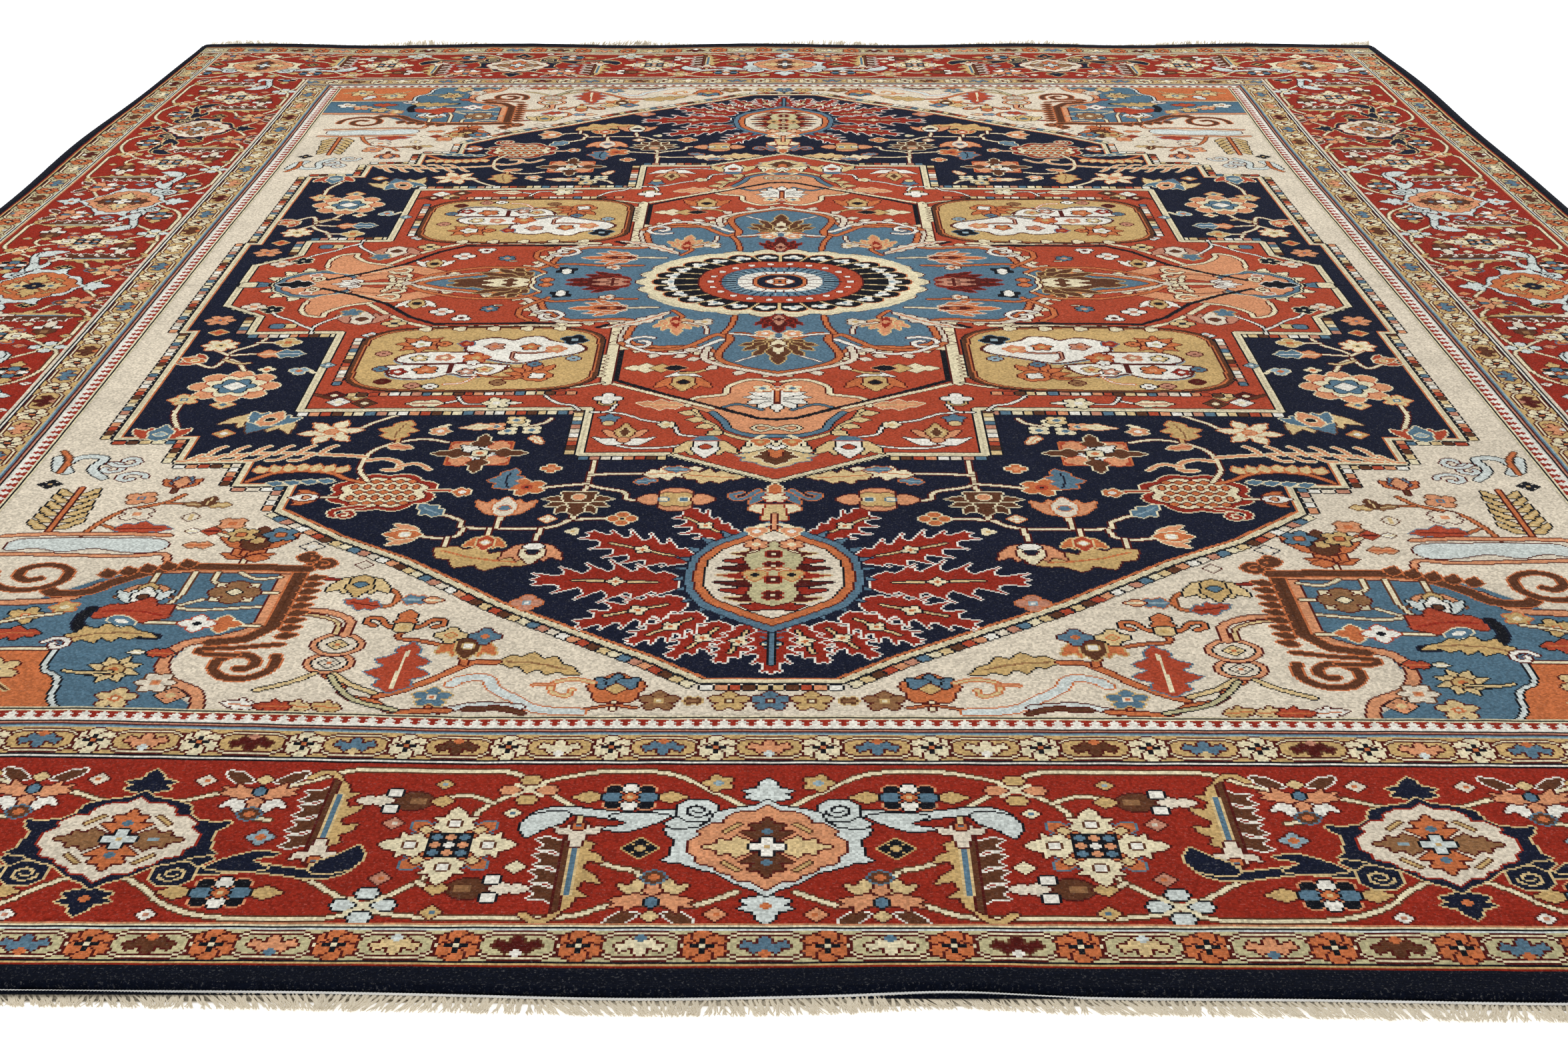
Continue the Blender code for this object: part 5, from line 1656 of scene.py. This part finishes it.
box_low, box_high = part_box("foundation")
foundation, i, j = lattice("foundation_weave", ACROSS * 2 // 5, ALONG * 2 // 5)
x, y = (i * 5 - ACROSS) * KNOT, (j * 5 - ALONG) * KNOT
x, y = np.clip(x, box_low.x, box_high.x), np.clip(y, box_low.y, box_high.y)
place_vertices(foundation, np.stack([x, y, np.zeros(len(x))], 1))


def close_sheet():
    """Turns the grid to face down, and adds the rim and the upper side, which the pile hides."""
    bpy.ops.mesh.select_all(action="SELECT")
    bpy.ops.mesh.flip_normals()
    select_rim()
    bpy.ops.mesh.extrude_edges_move(TRANSFORM_OT_translate={"value": (0, 0, box_high.z)})
    for _ in range(3):
        bpy.ops.mesh.extrude_edges_move(TRANSFORM_OT_translate={"value": (0, 0, 0)})
        bpy.ops.transform.resize(value=(0.95, 0.96, 1))
    bpy.ops.mesh.fill(use_beauty=False)
    face_outwards()


edit(close_sheet)
note_knots(foundation, back=True)
finish_piece(foundation, back, "foundation")

# ---------------------------------------------------------------------------
# Selvedges: each long edge is a round cord of wefts, overcast with dark wool, turn beside turn.
# ---------------------------------------------------------------------------
def tube(name, length, pitch, radius, waist, sides, along_y, centre, lean=0.0, seed=1):
    """A cord with a swelling at each turn of its wrapping or twist, along Y or along X."""
    turns = int(round(length / pitch))
    piece, i, j = lattice(name, sides, turns * 2)
    draw = np.random.default_rng(seed)
    full = radius * (1 - 0.08 * draw.random(turns * 2 + 1))
    full[1::2] *= waist
    angle = 2 * np.pi * i / sides
    r = full[j.astype(int)]
    s = (j / (turns * 2) - 0.5) * length + lean * np.cos(angle) * pitch * ((j > 0) & (j < turns * 2))
    a, b = centre[0] + r * np.cos(angle), centre[1] + r * np.sin(angle)
    place_vertices(piece, np.stack([a, s, b] if along_y else [s, a, b], 1))

    def join():
        bpy.ops.mesh.select_all(action="SELECT")
        bpy.ops.mesh.remove_doubles(threshold=1e-6)
        select_rim()
        bpy.ops.mesh.edge_face_add()
        face_outwards()

    edit(join)
    return piece


def yarn(name, dark, light, scale, strength=0.5):
    """A matt spun thread: fine hairs of two shades, with faint soiling."""
    material, tree, shader = new_material(name)
    metres = add(tree, "TexCoord").outputs["Object"]
    hairs = noise(tree, metres, scale, Detail=3.0, Roughness=0.7)
    soil = noise(tree, metres, 38.0)
    colour = shaded(tree, mixed(tree, hairs, srgb(dark), srgb(light)), (soil, 0.3))
    surface(tree, shader, colour, 0.9, 0.2, hairs, strength, depth=0.0006)
    return material


# Wool yarn in dark blue, which the hairs make a little paler where the light catches a turn of it; and
# the undyed cotton cord that it covers, which is seen only where the wrapping ends.
overcast = yarn("overcast navy wool", "#080A12", "#232A3E", 1100.0)
core_cotton = yarn("cotton core cord", "#A89C83", "#D8CFBA", 1100.0)
for side in ("left", "right"):
    a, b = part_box("selvedge_binding_" + side)
    length, radius = b.y - a.y, (b.x - a.x) / 2
    middle = ((a.x + b.x) / 2, (a.z + b.z) / 2)
    wrap_pitch, strand_pitch = 0.0021, 0.0210
    piece = tube(
        "selvedge_wrap_" + side, length, wrap_pitch, radius, waist=0.86, sides=10, along_y=True,
        centre=middle,
        lean=0.35, seed=len(side),
    )
    finish_piece(piece, overcast, "selvedge_binding_" + side)
    a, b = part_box("selvedge_core_" + side)
    piece = tube(
        "selvedge_cord_" + side, length, strand_pitch, (b.x - a.x) / 2, waist=0.98, sides=8, along_y=True,
        centre=middle, seed=3,
    )
    finish_piece(piece, core_cotton, "selvedge_core_" + side)

# ---------------------------------------------------------------------------
# Ends: a narrow band of plain cotton weave, the knotted-off warps lying on it as a row of beads, and the
# warp ends left as a short fringe, combed slantwise.
# ---------------------------------------------------------------------------
# Plain cotton weave, warps and wefts over and under one another: small checks of undyed thread, painted
# lighter where the threads stand up and darker where they dip under, as painted shade of the weave, 2.6 mm
# across by 1.5 mm along for a full wave.
WARPS, WEFTS = 2400.0, 4200.0  # radians of that wave in a metre
plain, tree, shader = new_material("plain-woven cotton")
metres = add(tree, "TexCoord").outputs["Object"]
x, y, _ = add(tree, "SeparateXYZ", {0: metres}).outputs
over_warp = maths(tree, "SINE", maths(tree, "MULTIPLY", x, WARPS))
over = maths(tree, "MULTIPLY", over_warp, maths(tree, "SINE", maths(tree, "MULTIPLY", y, WEFTS)))
lint = noise(tree, metres, 1400.0)
# Painted shade: the cotton is made lighter on the crowns of the weave and darker in its dips, following the
# same relief as the bump.
colour = shaded(tree, mixed(tree, lint, srgb("#A39781"), srgb("#DAD1BD")), (over, 0.2))
surface(tree, shader, colour, 0.9, 0.5, over, strength=0.5, depth=0.0005)
# The knotted warps are the cleanest, whitest cotton of the rug; the loose fringe is softer and slightly
# cream.
KNOT_PITCH = 0.0027  # metres from one knotted-off group of warps to the next
WARP_RADIUS = 0.00078
knotted = yarn("knotted cotton warps", "#D9D6CC", "#FFFFFF", 1300.0)
loose = yarn("unplied cotton fringe", "#C4B596", "#FFF6E4", 900.0, 0.3)
for end, way in (("near", -1), ("far", 1)):
    a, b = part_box("kilim_end_" + end)
    band, i, j = lattice("kilim_weave_" + end, 540, 3)
    x, y = a.x + (b.x - a.x) * i / 540, a.y + (b.y - a.y) * j / 3
    place_vertices(band, np.stack([x, y, np.full(len(x), b.z)], 1))
    edit(lambda: thicken(b.z - a.z))
    finish_piece(band, plain, "kilim_end_" + end)

    a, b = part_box("end_cord_" + end)
    middle = ((a.y + b.y) / 2, (a.z + b.z) / 2)
    beads = tube(
        "end_knots_" + end, b.x - a.x, KNOT_PITCH, (b.z - a.z) / 2, waist=0.62, sides=8, along_y=False,
        centre=middle, lean=0.5, seed=5,
    )
    finish_piece(beads, knotted, "end_cord_" + end)

    a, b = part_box("fringe_" + end)
    draw = np.random.default_rng(11 + way)
    curve = bpy.data.curves.new("fringe", "CURVE")
    curve.dimensions = "3D"
    curve.bevel_depth, curve.bevel_resolution, curve.use_fill_caps = WARP_RADIUS, 0, True
    root, reach = (b.y if way < 0 else a.y) - way * 0.0022, b.y - a.y
    at, lean = a.x + 0.004, 0.4
    # Four warps leave each knot and lean together; at the far end they are longer, and some tips curl up.
    while at < b.x - 0.004:
        lean = np.clip(lean + draw.normal(0, 0.14) + 0.05 * (0.35 - lean), -0.75, 0.95)
        for _ in range(4):
            if way < 0:
                long = reach * draw.uniform(0.72, 0.94)
            else:
                long = reach * (draw.uniform(0.8, 1.25) + 0.3 * np.sin(at * 13) ** 2)
            sway = lean + draw.normal(0, 0.12)
            curled = 0.0 if way < 0 else 0.018 * draw.uniform(0.5,
                1) * (0.35 + 0.65 * np.sin(at * 7 + 1) ** 2)
            spline = curve.splines.new("POLY")
            spline.points.add(4)
            for n, point in enumerate(spline.points):
                t = n / 4
                side = at + draw.normal(0, 0.0004) + long * (sway * t + 0.12 * np.sin(3 * t + at * 900))
                side = min(max(side, a.x + 0.0005), b.x - 0.0005)
                z = 0.0022 * (1 - t) ** 2 + 0.0009 + draw.random() * 0.0012 * t + curled * t**2
                point.co = (side, root + way * long * t, z, 1)
                point.radius = 1.2 - 0.65 * t
        at += KNOT_PITCH
    bpy.ops.object.select_all(action="DESELECT")
    fringe = bpy.data.objects.new("fringe_" + end + "_warps", curve)
    bpy.context.scene.collection.objects.link(fringe)
    fringe.select_set(True)
    bpy.context.view_layer.objects.active = fringe
    bpy.ops.object.convert(target="MESH")
    finish_piece(bpy.context.object, loose, "fringe_" + end)

# ---------------------------------------------------------------------------
# Floor and light: a plain pale floor in soft, even studio light.
# ---------------------------------------------------------------------------
bpy.ops.object.select_all(action="DESELECT")
bpy.ops.mesh.primitive_plane_add(size=60, location=(0, 10, -0.0002))
floor = bpy.context.object
floor.name = "studio_floor"
# White paper, which gives off a little light, so that it is plain white to the eye right under the rug's
# edge.
paper, tree, shader = new_material("white studio paper")
metres = add(tree, "TexCoord").outputs["Object"]
tooth = noise(tree, metres, 3.0)
tree.links.new(mixed(tree, tooth, srgb("#FDFDFD"), srgb("#FFFFFF")), shader.inputs["Base Color"])
shader.inputs["Roughness"].default_value = 1.0
shader.inputs["Specular IOR Level"].default_value = 0.0
shader.inputs["Emission Color"].default_value = srgb("#FFFFFF")
shader.inputs["Emission Strength"].default_value = 0.45
floor.data.materials.append(paper)

world = bpy.data.worlds.new("studio")
bpy.context.scene.world = world
world.use_nodes = True
world.node_tree.nodes["Background"].inputs[0].default_value = (1.0, 1.0, 1.0, 1.0)
world.node_tree.nodes["Background"].inputs[1].default_value = 0.57
for name, place_at, size, watts in (
    ("key", (-2.6, 0.4, 4.2), 3.0, 88.0), ("fill", (2.6, 3.2, 3.4), 3.0, 95.0), ("front", (0.3, -5.4, 2.4),
        3.0, 26.0),
):
    light = bpy.data.objects.new(name, bpy.data.lights.new(name, "AREA"))
    bpy.context.scene.collection.objects.link(light)
    light.data.size, light.data.energy = size, watts
    light.location = place_at
    away = light.location.normalized()
    light.rotation_euler = away.to_track_quat("Z", "Y").to_euler()
bpy.context.scene.view_settings.view_transform = "Standard"
